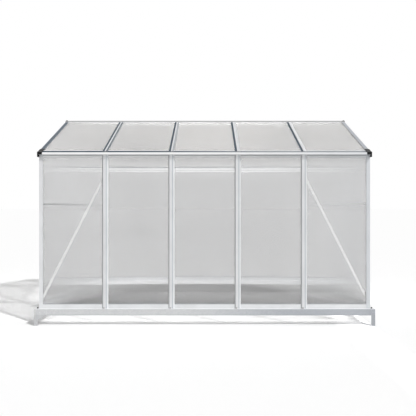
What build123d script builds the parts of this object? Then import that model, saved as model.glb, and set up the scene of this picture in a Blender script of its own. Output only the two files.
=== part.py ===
from build123d import *

import os
from math import cos, radians, sin, tan

# Gable-roofed greenhouse: aluminium glazing bars and twin-wall sheets on a folded steel foundation
# frame with corner stakes. Millimetres. +X runs along the ridge, +Y to the rear wall, +Z up, with the
# origin on the ground under the middle of the house.

# House
LENGTH = 3100.0             # over the corner posts, along X
WIDTH = 1900.0              # over the corner posts, along Y
SIDE_BAYS = 5               # bays of the long walls and of the roof
GABLE_BAYS = 3
ROOF_PITCH = 24.8           # degrees
EAVE_LEVEL = 1624.0         # middle of the roof sheet, straight above the wall's outer face

# Foundation of folded steel
STAKE_FOOT = 97.0           # free height of the stakes under the foundation
STAKE_WIDTH = 37.0
STAKE_STEEL = 3.0
STAKE_WING = 116.0          # width of the flange that laps over the rail's end
STAKE_WING_DROP = 66.0      # its slanting foot at the corner, below the rail
FOUNDATION_HEIGHT = 58.0
FOUNDATION_REACH = 34.0     # how far the rail's web stands outside the wall
FOUNDATION_LEDGE = 80.0     # top flange that carries the sill
FOUNDATION_LIP = 20.0       # bottom flange
FOUNDATION_FOLD = 45.0      # inner edge of the ledge, folded down
STEEL = 2.0
KNOB_RADIUS = 7.0
KNOB_HEIGHT = 12.0
KNOB_CHAMFER = 2.0
KNOB_OFFSET = 14.0          # outside the gable's outer face
KNOB_INSET = 6.0            # from the long wall's outer face

# Twin-wall sheets
SHEET = 4.0
FACE_CLEARANCE = 0.5        # each side of a sheet in its slot
EDGE_CLEARANCE = 1.5        # between a sheet's edge and a web

# Aluminium extrusions
WALL = 1.6
BAR_WIDTH = 50.0
BAR_BEAD = 6.0              # radius of the half-round bead on the outer flange
BAR_WEB = 3.0
COVER_WIDTH = 58.0          # raised cover on the studs of the long walls
COVER_RISE = 10.0
COVER_FACE = 36.0           # width of its face between the sloping sides
COVER_GROOVE = 4.0          # width of the groove down its face
COVER_GROOVE_DEPTH = 3.0
COVER_GROOVE_PLACE = 8.0    # beside the stud's middle
BAR_INNER_WIDTH = 30.0
FIN_DEPTH = 18.0            # inner stiffening fin
FIN_WALL = 2.0
FIN_FOOT = 14.0             # width of the bolt channel's foot
CORNER_WIDTH = 36.0
CORNER_CORE = 13.0
SILL_HEIGHT = 45.0
SILL_BASE = 38.0            # depth of the foot on the foundation
SILL_SLOT = 26.0            # depth of the slot that holds the sheets
STRIP_HEIGHT = 16.0         # joint strip between an upper and a lower sheet
STRIP_CLEARANCE = 0.3       # between a strip's end and the next bar's flange
MID_RAIL_LEVEL = 1134.0
BRACE_WIDTH = 20.0
BRACE_THICKNESS = 3.0
BRACE_FOOT_LEVEL = 252.0
BRACE_HEAD_LEVEL = 1392.0
BRACE_LAP = 4.0             # how far a brace's end lies behind the bar's flange

# Eave gutter
TROUGH_DROP = 31.0          # trough's underside below EAVE_LEVEL
TROUGH_DEPTH = 21.0
TROUGH_REACH = 42.0         # in front of the wall's outer face
TROUGH_BEAD = 2.0           # radius of the rolled edge of the trough
EAVE_LIP = 27.0             # slot for the head of the wall sheets
EAVE_OVERHANG = 8.0         # roof slot beyond the wall's outer face
EAVE_SLOT = 28.0            # depth of the slot for the foot of the roof sheets
CAP_WALL = 2.5
CAP_LENGTH = 40.0           # how far an eave cap wraps over the gutter
CAP_RUN = 62.0              # how far it follows the rafter
CAP_SKIRT = 22.0            # how far its end hangs below the trough
CAP_CLEARANCE = 0.4
CAP_END = 4.5               # thickness of its end wall

# Ridge
RIDGE_FLANGE = 45.0
RIDGE_STOP = 12.0           # wall that stops the roof sheets, down the slope from the apex
RIDGE_BEAD = 5.0
RIDGE_WEB_DEPTH = 42.0
RIDGE_WEB_WALL = 3.0
RIDGE_FOOT = 30.0
RIDGE_CAP_WIDTH = 30.0      # half width of the plastic end cap, along the slope
RIDGE_CAP_RISE = 3.0
RIDGE_CAP_LENGTH = 12.0

# Roof vents
VENT_BAYS = (1, 3)          # counted from 0 at the left
VENT_LENGTH = 560.0         # along the slope, from the apex
VENT_RAIL = 22.0
VENT_SLOT = 12.0
VENT_PLAY = 4.0             # between a vent's side and the next bar's bead
VENT_LIFT = 0.5             # over the bars' outer flange
HINGE_RUN = 33.0            # hinge axis from the apex, down the slope
HINGE_RADIUS = 4.0
HINGE_CLEARANCE = 0.3
HINGE_WALL = 2.0
HINGE_OPENING = (-28.0, 68.0)   # degrees from the slope, where the socket is open
HINGE_NECK = 2.4
VENT_SILL_LAP = 10.0        # how far the vent sill reaches under the vent
VENT_SILL_WIDTH = 30.0
STAY_LENGTH = 300.0
STAY_WIDTH = 14.0
STAY_THICKNESS = 3.0
STAY_HOLE = 3.5
STAY_PITCH = 40.0
STAY_DROP = 12.0            # pivot below the vent's underside
LUG_THICKNESS = 3.0
PEG_TAB = 12.0              # width of the tab that carries the stay's peg
PEG_DROP = 8.0              # peg below the vent sill
PEG_GAP = 2.0               # on each side of a hooked stay
PIVOT_RADIUS = 3.0
PIVOT_CLEARANCE = 0.08
PIVOT_HEAD = 5.0            # radius of a pivot's head
PIVOT_HEAD_HEIGHT = 1.5
SIDE_CLEARANCE = 0.3        # beside a moving plate or wheel

# Sliding door in the right gable
DOOR_WIDTH = 660.0
DOOR_TOP = 1706.0
DOOR_LIFT = 18.0            # door's underside over the foundation
DOOR_THICKNESS = 14.0
DOOR_GAP = 1.5              # between the door and the jambs' beads
DOOR_RAIL = 30.0
DOOR_SLOT = 10.0
DOOR_STOP = 45.0            # open door's edge from the rear wall's outer face
HEADER_HEIGHT = 30.0
HEADER_SLOT = 18.0
TRACK_CLEARANCE = 6.0       # between the door's top and the track
TRACK_HEIGHT = 44.0
TRACK_LIP = 8.0
TRACK_LEAD = 15.0           # track beyond the closed door's edge
STAY_BAR_WIDTH = 24.0       # bar that carries the track's far end
STAY_BAR_INSET = 90.0       # from the rear wall's outer face
ROLLER_TREAD = 10.0
ROLLER_RIM = 13.0
ROLLER_WIDTH = 7.0
ROLLER_GROOVE = 2.6
ROLLER_GAP = 0.2            # between the tread and the track's lip
HANGER_WIDTH = 40.0
HANGER_THICKNESS = 2.5
HANGER_RISE = 12.0          # above the roller's axle
HANGER_INSET = 90.0         # roller's place from the door's edge
GUIDE_HEIGHT = 13.0
GUIDE_WIDTH = 16.0
GUIDE_FIN = 3.0
GUIDE_FIN_GAP = 3.0         # under the door's fin
HANDLE_WIDTH = 22.0
HANDLE_LENGTH = 150.0
HANDLE_LEVEL = 1050.0
HANDLE_BASE = 3.0
HANDLE_DEPTH = 13.0
HANDLE_LIP = 4.0

# Places that follow from these sizes
HALF_L = LENGTH / 2
HALF_W = WIDTH / 2
PITCH = radians(ROOF_PITCH)
RIDGE_LEVEL = EAVE_LEVEL + HALF_W * tan(PITCH)
FOUNDATION_TOP = STAKE_FOOT + FOUNDATION_HEIGHT
SILL_TOP = FOUNDATION_TOP + SILL_HEIGHT
HALF_SLOT = SHEET / 2 + FACE_CLEARANCE      # inner face of a slot's wall, from the sheet's middle
LIP_OUT = HALF_SLOT + WALL                  # outer face of sills, strips and lips
FLANGE_OUT = LIP_OUT + WALL                 # outer face of bars and corners
TROUGH_BOTTOM = EAVE_LEVEL - TROUGH_DROP
EAVE_LIP_BOTTOM = TROUGH_BOTTOM - EAVE_LIP
EAVE_RUN = (HALF_W + EAVE_OVERHANG) / cos(PITCH)    # apex to the foot of the roof slot
BAR_FOOT_RUN = EAVE_RUN - EAVE_SLOT
GIRT_HALF_L = HALF_L - WALL                 # ends of gutters and ridge, inside the gable flanges
RAFTER_UNDER = FLANGE_OUT - CORNER_WIDTH    # lower edge of the gable rafters, from the roof sheet

# Sheet planes: first axis along the wall, second upwards, third outwards from the sheet's middle
FRONT = Plane(origin=(0, FLANGE_OUT - HALF_W, 0), x_dir=(1, 0, 0), z_dir=(0, -1, 0))
REAR = Plane(origin=(0, HALF_W - FLANGE_OUT, 0), x_dir=(-1, 0, 0), z_dir=(0, 1, 0))
LEFT = Plane(origin=(FLANGE_OUT - HALF_L, 0, 0), x_dir=(0, -1, 0), z_dir=(-1, 0, 0))
RIGHT = Plane(origin=(HALF_L - FLANGE_OUT, 0, 0), x_dir=(0, 1, 0), z_dir=(1, 0, 0))
FRONT_ROOF = Plane(origin=(0, 0, RIDGE_LEVEL), x_dir=(1, 0, 0), z_dir=(0, -sin(PITCH), cos(PITCH)))
REAR_ROOF = Plane(origin=(0, 0, RIDGE_LEVEL), x_dir=(-1, 0, 0), z_dir=(0, sin(PITCH), cos(PITCH)))


# Building blocks

def rect(a0, b0, a1, b1):
    """Rectangle between two corners of a sketch."""
    return Pos((a0 + a1) / 2, (b0 + b1) / 2) * Rectangle(abs(a1 - a0), abs(b1 - b0))


def outline(*points):
    """Face inside a closed outline."""
    return make_face(Polyline(*points, close=True))


def upright(section, u, w0, w1):
    """Bar along a sheet plane's second axis, from a section drawn in its first and third axes."""
    plane = Plane(origin=(u, w1, 0), x_dir=(1, 0, 0), z_dir=(0, -1, 0))
    return extrude(plane * section, amount=w1 - w0, dir=(0, -1, 0))


def transom(section, u0, u1):
    """Bar along a sheet plane's first axis, from a section drawn in its second and third axes."""
    plane = Plane(origin=(u0, 0, 0), x_dir=(0, 1, 0), z_dir=(1, 0, 0))
    return extrude(plane * section, amount=u1 - u0, dir=(1, 0, 0))


def plate(face, v0, v1):
    """Plate between two offsets from a sheet plane."""
    return extrude(Pos(0, 0, v0) * face, amount=v1 - v0, dir=(0, 0, 1))


def disc(radius, v0, v1):
    """Cylinder standing on a sheet plane."""
    return plate(Circle(radius), v0, v1)


def roof_point(run, offset):
    """Place on the front slope, in Y and Z: down the slope from the apex, and out from the sheet."""
    return (-run * cos(PITCH) - offset * sin(PITCH), RIDGE_LEVEL - run * sin(PITCH) + offset * cos(PITCH))


def roof_level(y, offset):
    """Height of a plane parallel to the slopes."""
    return RIDGE_LEVEL - abs(y) * tan(PITCH) + offset / cos(PITCH)


def slope_rect(run0, offset0, run1, offset1):
    """Rectangle laid along the front slope, drawn in Y and Z."""
    corners = ((run0, offset0), (run1, offset0), (run1, offset1), (run0, offset1))
    return outline(*(roof_point(*corner) for corner in corners))


def transom_yz(section, x0, x1):
    """Bar along X from a section drawn in Y and Z."""
    plane = Plane(origin=(x0, 0, 0), x_dir=(0, 1, 0), z_dir=(1, 0, 0))
    return extrude(plane * section, amount=x1 - x0, dir=(1, 0, 0))


def under_roof(solid, offset):
    """What is left of a placed piece below the planes that run parallel to both slopes."""
    top = roof_level(0, offset)
    foot = top - WIDTH * tan(PITCH)
    house = outline((-WIDTH, 0), (WIDTH, 0), (WIDTH, foot), (0, top), (-WIDTH, foot))
    return solid & transom_yz(house, -LENGTH, LENGTH)


def bay_lines(half, bays):
    """Places of the bars that divide a face into equal bays."""
    return [-half + 2 * half * i / bays for i in range(1, bays)]


def bay_spans(half, bays, corner, line):
    """From and to of every bay, short of the corners and of the bars by the given amounts."""
    starts = [-half + corner] + [place + line for place in bay_lines(half, bays)]
    ends = [place - line for place in bay_lines(half, bays)] + [half - corner]
    return list(zip(starts, ends))


# Sections

def bar_flange():
    """Outer flange of a glazing bar, with its half-round bead."""
    bead = Circle(BAR_BEAD) & rect(-BAR_BEAD, 0, BAR_BEAD, BAR_BEAD)
    return rect(-BAR_WIDTH / 2, LIP_OUT, BAR_WIDTH / 2, FLANGE_OUT) + Pos(0, FLANGE_OUT) * bead


def stud_cover():
    """Outer flange of a long wall's stud: a raised cover with sloping sides and a groove down its face."""
    face = FLANGE_OUT + COVER_RISE
    cover = outline((-COVER_WIDTH / 2, LIP_OUT), (COVER_WIDTH / 2, LIP_OUT), (COVER_WIDTH / 2, FLANGE_OUT),
                    (COVER_FACE / 2, face), (-COVER_FACE / 2, face), (-COVER_WIDTH / 2, FLANGE_OUT))
    return cover - rect(COVER_GROOVE_PLACE - COVER_GROOVE / 2, face - COVER_GROOVE_DEPTH,
                        COVER_GROOVE_PLACE + COVER_GROOVE / 2, face)


def bar_section(flange):
    """Whole glazing bar: outer flange, web between the sheets, inner flange and bolt channel fin."""
    fin_end = -LIP_OUT - FIN_DEPTH
    section = flange + rect(-BAR_WEB / 2, -LIP_OUT, BAR_WEB / 2, LIP_OUT)
    section += rect(-BAR_INNER_WIDTH / 2, -LIP_OUT, BAR_INNER_WIDTH / 2, -HALF_SLOT)
    section += rect(-FIN_WALL / 2, fin_end, FIN_WALL / 2, -LIP_OUT)
    return section + rect(-FIN_FOOT / 2, fin_end - FIN_WALL, FIN_FOOT / 2, fin_end)


def corner_rect(side, p0, q0, p1, q1):
    """Rectangle measured inwards from the two outer faces of a corner bar."""
    return rect(-side * p0, FLANGE_OUT - q0, -side * p1, FLANGE_OUT - q1)


def corner_flanges(side):
    """The two outer flanges of a corner bar."""
    return corner_rect(side, 0, 0, CORNER_WIDTH, WALL) + corner_rect(side, 0, 0, WALL, CORNER_WIDTH)


def corner_section(side):
    """Corner bar with a sheet slot along each of its two faces."""
    slot_in = FLANGE_OUT + HALF_SLOT
    section = corner_flanges(side) + corner_rect(side, 0, 0, CORNER_CORE, CORNER_CORE)
    section += corner_rect(side, CORNER_CORE, slot_in, CORNER_WIDTH, slot_in + WALL)
    return section + corner_rect(side, slot_in, CORNER_CORE, slot_in + WALL, CORNER_WIDTH)


def channel_section(bottom, height, slot):
    """Channel that holds the foot of a sheet, over a hollow box, drawn in height and offset."""
    top = bottom + height
    section = rect(bottom, HALF_SLOT, top, LIP_OUT) + rect(bottom, -LIP_OUT, top, -HALF_SLOT)
    section += rect(top - slot - WALL, -HALF_SLOT, top - slot, HALF_SLOT)
    return section + rect(bottom, -HALF_SLOT, bottom + WALL, HALF_SLOT)


def strip_section(level):
    """Joint strip between a lower and an upper sheet."""
    low, high = level - STRIP_HEIGHT / 2, level + STRIP_HEIGHT / 2
    section = rect(low, HALF_SLOT, high, LIP_OUT) + rect(low, -LIP_OUT, high, -HALF_SLOT)
    return section + rect(level - WALL / 2, -HALF_SLOT, level + WALL / 2, HALF_SLOT)


def slotted_rect(a0, b0, a1, b1, slot0, slot1, depth, ends):
    """Rectangle with a sheet slot, from slot0 to slot1, cut into its low end, its high end or both."""
    section = rect(a0, b0, a1, b1)
    if "low" in ends:
        section -= rect(a0, slot0, a0 + depth, slot1)
    if "high" in ends:
        section -= rect(a1 - depth, slot0, a1, slot1)
    return section


# Foundation and sills

def mitred_frame(section, half_x, half_y, depth):
    """Four rails mitred at the corners, from a section drawn inwards from the outer face and upwards."""
    rails = {}
    runs = (("front", 0, half_x, half_y), ("right", 90, half_y, half_x),
            ("rear", 180, half_x, half_y), ("left", 270, half_y, half_x))
    for side, turn, half_run, half_across in runs:
        plane = Plane(origin=(-half_run, -half_across, 0), x_dir=(0, 1, 0), z_dir=(1, 0, 0))
        rail = extrude(plane * section, amount=2 * half_run, dir=(1, 0, 0))
        mitre = outline((-half_run, -half_across), (half_run, -half_across),
                        (half_run - depth, depth - half_across), (depth - half_run, depth - half_across))
        rails[side] = Rot(0, 0, turn) * (rail & extrude(mitre, amount=SILL_TOP, dir=(0, 0, 1)))
    return rails


def foundation_rails():
    """Folded steel rails: web, bottom lip, and ledge that carries the sill, its inner edge folded down."""
    section = rect(0, STAKE_FOOT, STEEL, FOUNDATION_TOP)
    section += rect(0, FOUNDATION_TOP - STEEL, FOUNDATION_LEDGE, FOUNDATION_TOP)
    fold = FOUNDATION_LEDGE - STEEL
    section += rect(fold, FOUNDATION_TOP - FOUNDATION_FOLD, FOUNDATION_LEDGE, FOUNDATION_TOP)
    section += rect(0, STAKE_FOOT, FOUNDATION_LIP, STAKE_FOOT + STEEL)
    return mitred_frame(section, HALF_L + FOUNDATION_REACH, HALF_W + FOUNDATION_REACH, FOUNDATION_LEDGE)


def corner_stake():
    """Steel angle with its corner at the origin; a wing on one flange laps over the rail's end."""
    angle = rect(0, 0, STAKE_WIDTH, STAKE_STEEL) + rect(0, 0, STAKE_STEEL, STAKE_WIDTH)
    wing = outline((0, STAKE_FOOT - STAKE_WING_DROP), (STAKE_WING, STAKE_FOOT), (STAKE_WING, FOUNDATION_TOP),
                   (0, FOUNDATION_TOP))
    stake = extrude(angle, amount=FOUNDATION_TOP, dir=(0, 0, 1))
    return stake + extrude(Plane.XZ * wing, amount=STAKE_STEEL, dir=(0, 1, 0))


def corner_stakes():
    """Four alike stakes bolted round the foundation's corners, each turned a quarter from the last."""
    reach = FOUNDATION_REACH + STAKE_STEEL
    stakes = []
    for quarter, (side_x, side_y) in enumerate(((-1, -1), (1, -1), (1, 1), (-1, 1))):
        place = Pos(side_x * (HALF_L + reach), side_y * (HALF_W + reach))
        stakes.append(place * Rot(0, 0, 90 * quarter) * corner_stake())
    return stakes


def hold_down_knobs():
    """Plastic knobs that clamp the sills' corners to the foundation's ledge."""
    knobs = []
    for side_x in (-1, 1):
        for side_y in (-1, 1):
            place = Pos(side_x * (HALF_L + KNOB_OFFSET), side_y * (HALF_W - KNOB_INSET), FOUNDATION_TOP)
            knob = extrude(Circle(KNOB_RADIUS), amount=KNOB_HEIGHT, dir=(0, 0, 1))
            knob = chamfer(knob.edges().group_by(Axis.Z)[-1], KNOB_CHAMFER)
            knobs.append(place * knob)
    return knobs


def sills():
    """Bottom rails: sheet channel and a foot on the foundation's ledge."""
    inset = HALF_SLOT + LIP_OUT
    section = rect(0, FOUNDATION_TOP, WALL, SILL_TOP) + rect(inset, FOUNDATION_TOP, inset + WALL, SILL_TOP)
    section += rect(0, FOUNDATION_TOP, SILL_BASE, FOUNDATION_TOP + WALL)
    section += rect(0, SILL_TOP - SILL_SLOT - WALL, inset, SILL_TOP - SILL_SLOT)
    return mitred_frame(section, HALF_L - WALL, HALF_W - WALL, SILL_BASE)


# Walls

def wall_stud(u):
    """Stud of a long wall: its cover laps over the sill and the eave lip."""
    body = upright(bar_section(stud_cover()), u, SILL_TOP, EAVE_LIP_BOTTOM)
    return body + upright(stud_cover(), u, FOUNDATION_TOP, TROUGH_BOTTOM)


def corner_post(face, side):
    """Corner post at one end of a long wall; its gable flange runs up to the rafter's lower edge."""
    u = side * HALF_L
    body = upright(corner_section(side), u, SILL_TOP, EAVE_LIP_BOTTOM)
    body += upright(corner_flanges(side), u, FOUNDATION_TOP, TROUGH_BOTTOM)
    gable_flange = upright(corner_rect(side, 0, 0, WALL, CORNER_WIDTH), u, TROUGH_BOTTOM, EAVE_LEVEL)
    return under_roof(face * (body + gable_flange), RAFTER_UNDER)


def gable_studs(face):
    """Studs of a gable: the outer flange laps over the sill, and the head follows the rafter's lower edge."""
    studs = []
    for u in bay_lines(HALF_W, GABLE_BAYS):
        body = upright(bar_section(bar_flange()), u, SILL_TOP, RIDGE_LEVEL)
        body += upright(bar_flange(), u, FOUNDATION_TOP, SILL_TOP)
        studs.append(under_roof(face * body, RAFTER_UNDER))
    return studs


def brace(side):
    """Flat diagonal bar behind the sheets of an end bay, from the corner post up to the next stud."""
    stud = HALF_L - LENGTH / SIDE_BAYS
    foot = (HALF_L - CORNER_WIDTH + BRACE_LAP, BRACE_FOOT_LEVEL)
    head = (stud + BAR_INNER_WIDTH / 2 - BRACE_LAP, BRACE_HEAD_LEVEL)
    run = Vector(head[0] - foot[0], head[1] - foot[1])
    across = run.normalized().rotate(Axis.Z, 90) * (BRACE_WIDTH / 2)
    corners = (Vector(*foot) - across, Vector(*head) - across, Vector(*head) + across, Vector(*foot) + across)
    face = outline(*((side * corner.X, corner.Y) for corner in corners))
    return plate(face, -LIP_OUT - BRACE_THICKNESS, -LIP_OUT)


def sheet(u0, u1, w0, w1):
    """Rectangular twin-wall sheet in the middle of its slots."""
    return plate(rect(u0, w0, u1, w1), -SHEET / 2, SHEET / 2)


def wall_sheets():
    """Sheets of a long wall, from the sill's slot to the eave's."""
    low, high = SILL_TOP - SILL_SLOT + FACE_CLEARANCE, TROUGH_BOTTOM - FACE_CLEARANCE
    spans = bay_spans(HALF_L, SIDE_BAYS, CORNER_CORE + EDGE_CLEARANCE, BAR_WEB / 2 + EDGE_CLEARANCE)
    return [sheet(u0, u1, low, high) for u0, u1 in spans]


def gable_sheets(face, levels_by_bay):
    """Sheets of a gable, one list of from and to levels for each bay; the top one follows the roof."""
    spans = bay_spans(HALF_W, GABLE_BAYS, CORNER_CORE + EDGE_CLEARANCE, BAR_WEB / 2 + EDGE_CLEARANCE)
    head = FLANGE_OUT - CORNER_CORE - EDGE_CLEARANCE
    sheets = []
    for (u0, u1), levels in zip(spans, levels_by_bay):
        for low, high in levels:
            sheets.append(under_roof(face * sheet(u0, u1, low, high), head))
    return sheets


# Roof

def gutter():
    """Front eave beam: trough, slot for the wall sheets below and slot for the roof sheets above."""
    wall_mid = FLANGE_OUT - HALF_W
    trough_front = -HALF_W - TROUGH_REACH
    trough_top = TROUGH_BOTTOM + TROUGH_DEPTH
    inner = wall_mid + LIP_OUT
    section = rect(trough_front, TROUGH_BOTTOM, inner, TROUGH_BOTTOM + WALL)
    section += rect(trough_front, TROUGH_BOTTOM, trough_front + WALL, trough_top - TROUGH_BEAD)
    section += Pos(trough_front + TROUGH_BEAD, trough_top - TROUGH_BEAD) * Circle(TROUGH_BEAD)
    section += rect(wall_mid - LIP_OUT, EAVE_LIP_BOTTOM, wall_mid - HALF_SLOT, TROUGH_BOTTOM)
    section += rect(wall_mid + HALF_SLOT, EAVE_LIP_BOTTOM, inner, roof_level(inner, -LIP_OUT + WALL / 2))
    section += slope_rect(BAR_FOOT_RUN, HALF_SLOT, EAVE_RUN, LIP_OUT)
    section += slope_rect(BAR_FOOT_RUN, -LIP_OUT, EAVE_RUN, -HALF_SLOT)
    section += slope_rect(EAVE_RUN, -LIP_OUT, EAVE_RUN + WALL, LIP_OUT)
    return transom_yz(section, -GIRT_HALF_L, GIRT_HALF_L)


def hinge_socket():
    """Round socket of the vent hinge, on the rear flange of the ridge, drawn in Y and Z."""
    inner = HINGE_RADIUS + HINGE_CLEARANCE
    outer = inner + HINGE_WALL
    y, z = roof_point(HINGE_RUN, hinge_offset())
    first, last = (angle - ROOF_PITCH for angle in HINGE_OPENING)
    reach = 2 * outer
    wedge = outline((0, 0), (reach * cos(radians(first)), reach * sin(radians(first))), (reach, 0),
                    (reach * cos(radians(last)), reach * sin(radians(last))))
    return Pos(-y, z) * (Circle(outer) - Circle(inner) - wedge)


def hinge_offset():
    """Hinge axis out from the roof sheet: the socket stands on the ridge's flange."""
    return LIP_OUT + HINGE_RADIUS + HINGE_CLEARANCE + HINGE_WALL - WALL / 4


def ridge_beam():
    """Ridge: sheet slots on both slopes, a bead on the apex, a T web inside and the vents' hinge socket."""
    slots = slope_rect(0, HALF_SLOT, RIDGE_FLANGE, LIP_OUT)
    slots += slope_rect(0, -LIP_OUT, RIDGE_FLANGE, -HALF_SLOT)
    slots += slope_rect(RIDGE_STOP - WALL, -LIP_OUT, RIDGE_STOP, LIP_OUT)
    section = slots + mirror(slots, about=Plane.YZ)
    section += Pos(0, roof_level(0, HALF_SLOT)) * Circle(RIDGE_BEAD)
    section += hinge_socket()
    foot = RIDGE_LEVEL - RIDGE_WEB_DEPTH
    web = rect(-RIDGE_WEB_WALL / 2, foot, RIDGE_WEB_WALL / 2, RIDGE_LEVEL - LIP_OUT)
    web += rect(-RIDGE_FOOT / 2, foot, RIDGE_FOOT / 2, foot + WALL)
    web_half = HALF_L - FLANGE_OUT - HALF_SLOT
    return transom_yz(section, -GIRT_HALF_L, GIRT_HALF_L) + transom_yz(web, -web_half, web_half)


def roof_bar(u):
    """Roof bar: its outer flange laps over the ridge's flange and the eave's slot."""
    body = upright(bar_section(bar_flange()), u, -BAR_FOOT_RUN, -RIDGE_FLANGE)
    return body + upright(bar_flange(), u, -EAVE_RUN, -HINGE_RUN - 2 * HINGE_RADIUS)


def gable_rafter(side):
    """Edge bar of the roof over a gable; its gable flange meets the other slope's at the apex."""
    u = side * HALF_L
    body = upright(corner_section(side), u, -BAR_FOOT_RUN, -RIDGE_FLANGE)
    body += upright(corner_rect(side, 0, 0, CORNER_WIDTH, WALL), u, -EAVE_RUN, -HINGE_RUN - 2 * HINGE_RADIUS)
    gable_flange = corner_rect(side, 0, 0, WALL, CORNER_WIDTH)
    return body + upright(gable_flange, u, -EAVE_RUN - CORNER_WIDTH, CORNER_WIDTH)


def trimmed_rafter(roof, side):
    """Gable rafter in its place, cut off upright at the apex and at the wall's outer face."""
    rear = roof is REAR_ROOF
    room = rect(-LENGTH, 0 if rear else -HALF_W, LENGTH, HALF_W if rear else 0)
    return (roof * gable_rafter(side)) & extrude(room, amount=2 * RIDGE_LEVEL, dir=(0, 0, 1))


def roof_sheets(vent_bays):
    """Sheets of one slope; those of a vented bay start at the vent sill."""
    head, foot = -RIDGE_STOP - FACE_CLEARANCE, FACE_CLEARANCE - EAVE_RUN
    short_head = -vent_sill_run() - WALL / 2 - FACE_CLEARANCE
    spans = bay_spans(HALF_L, SIDE_BAYS, CORNER_CORE + EDGE_CLEARANCE, BAR_WEB / 2 + EDGE_CLEARANCE)
    return [sheet(u0, u1, foot, short_head if bay in vent_bays else head)
            for bay, (u0, u1) in enumerate(spans)]


def eave_cap():
    """Moulded cap over the gutter's end at the front right corner: wrap, end wall and skirt."""
    clear = CAP_CLEARANCE
    front = -HALF_W - TROUGH_REACH - clear
    top = TROUGH_BOTTOM + TROUGH_DEPTH + clear
    brow = roof_point(EAVE_RUN + WALL + clear, FLANGE_OUT + clear)
    back = roof_point(EAVE_RUN - CAP_RUN, FLANGE_OUT + clear)
    rise = CAP_WALL / cos(PITCH)
    outer = front - CAP_WALL
    crown = ((outer, top + CAP_WALL), (brow[0], brow[1] + rise), (back[0], back[1] + rise))
    wrap = outline((outer, TROUGH_BOTTOM), *crown, back, brow, (front, top), (front, TROUGH_BOTTOM))
    skirt = TROUGH_BOTTOM - CAP_SKIRT
    end = outline((outer, skirt), *crown, (back[0], roof_level(back[0], RAFTER_UNDER)), (-HALF_W, skirt))
    end_start = HALF_L + clear
    end_stop = end_start + CAP_END
    return transom_yz(wrap, HALF_L - CAP_LENGTH, end_stop) + transom_yz(end, end_start, end_stop)


def eave_caps():
    """One cap at each of the four eave corners."""
    right_front = eave_cap()
    fronts = [mirror(right_front, about=Plane.YZ), right_front]
    return fronts + [mirror(cap, about=Plane.XZ) for cap in fronts]


def ridge_caps():
    """Plastic caps over the ridge's ends: end wall with a short hood over the bead."""
    top = roof_level(0, HALF_SLOT) + RIDGE_BEAD + CAP_CLEARANCE
    edge = roof_point(RIDGE_CAP_WIDTH, FLANGE_OUT + CAP_CLEARANCE)
    low = roof_point(RIDGE_CAP_WIDTH, -CORNER_WIDTH / 2)
    half = RIDGE_BEAD + CAP_CLEARANCE
    end = outline((low[0], low[1]), (edge[0], edge[1]), (-half - RIDGE_CAP_RISE, top + RIDGE_CAP_RISE),
                  (half + RIDGE_CAP_RISE, top + RIDGE_CAP_RISE), (-edge[0], edge[1]), (-low[0], low[1]))
    hood = rect(-half - RIDGE_CAP_RISE, top, half + RIDGE_CAP_RISE, top + RIDGE_CAP_RISE)
    start = HALF_L + CAP_CLEARANCE
    stop = start + CAP_END
    cap = transom_yz(end, start, stop) + transom_yz(hood, HALF_L - RIDGE_CAP_LENGTH, stop)
    return [mirror(cap, about=Plane.YZ), cap]


# Roof vents, drawn on the rear slope

def vent_bottom():
    """Underside of a closed vent, out from the roof sheet."""
    return FLANGE_OUT + VENT_LIFT


def vent_mid():
    """Middle of the vent's own sheet, out from the roof sheet."""
    return vent_bottom() + WALL + HALF_SLOT


def vent_top():
    """Outer face of a closed vent."""
    return vent_mid() + HALF_SLOT + WALL


def vent_half_width():
    """Half the vent's width: it lies between the beads of its two roof bars."""
    return LENGTH / SIDE_BAYS / 2 - BAR_BEAD - VENT_PLAY


def vent_head_run():
    """Upper edge of the vent's hinge rail, clear of the socket."""
    return HINGE_RUN + 3 * HINGE_RADIUS


def vent_sill_run():
    """Middle of the sill that carries the short sheet under a vent."""
    return VENT_LENGTH - VENT_SILL_LAP + VENT_SILL_WIDTH / 2


def pivot_place():
    """Pivot of the vent's stay: down the slope, and out from the roof sheet."""
    return VENT_LENGTH - VENT_RAIL, vent_bottom() - STAY_DROP


def vent_frame(u):
    """Rails of one vent: hinge rail with its bead, two sides, and foot rail with the stay's lug and pin."""
    half, head = vent_half_width(), vent_head_run()
    slot0, slot1 = vent_mid() - HALF_SLOT, vent_mid() + HALF_SLOT
    low, high = vent_bottom(), vent_top()
    neck = hinge_offset()
    hinge = slotted_rect(-head - VENT_RAIL, low, -head, high, slot0, slot1, VENT_SLOT, ("low",))
    hinge += rect(-head, neck - HINGE_NECK / 2, -HINGE_RUN, neck + HINGE_NECK / 2)
    hinge += Pos(-HINGE_RUN, neck) * Circle(HINGE_RADIUS)
    foot = slotted_rect(-VENT_LENGTH, low, VENT_RAIL - VENT_LENGTH, high, slot0, slot1, VENT_SLOT, ("high",))
    side_low = slotted_rect(-half, low, VENT_RAIL - half, high, slot0, slot1, VENT_SLOT, ("high",))
    side_high = slotted_rect(half - VENT_RAIL, low, half, high, slot0, slot1, VENT_SLOT, ("low",))
    w0, w1 = VENT_RAIL - VENT_LENGTH, -head - VENT_RAIL
    foot_rail = transom(foot, u - half, u + half) + vent_lug(u)
    return [transom(hinge, u - half, u + half), upright(side_low, u, w0, w1), upright(side_high, u, w0, w1),
            foot_rail]


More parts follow.
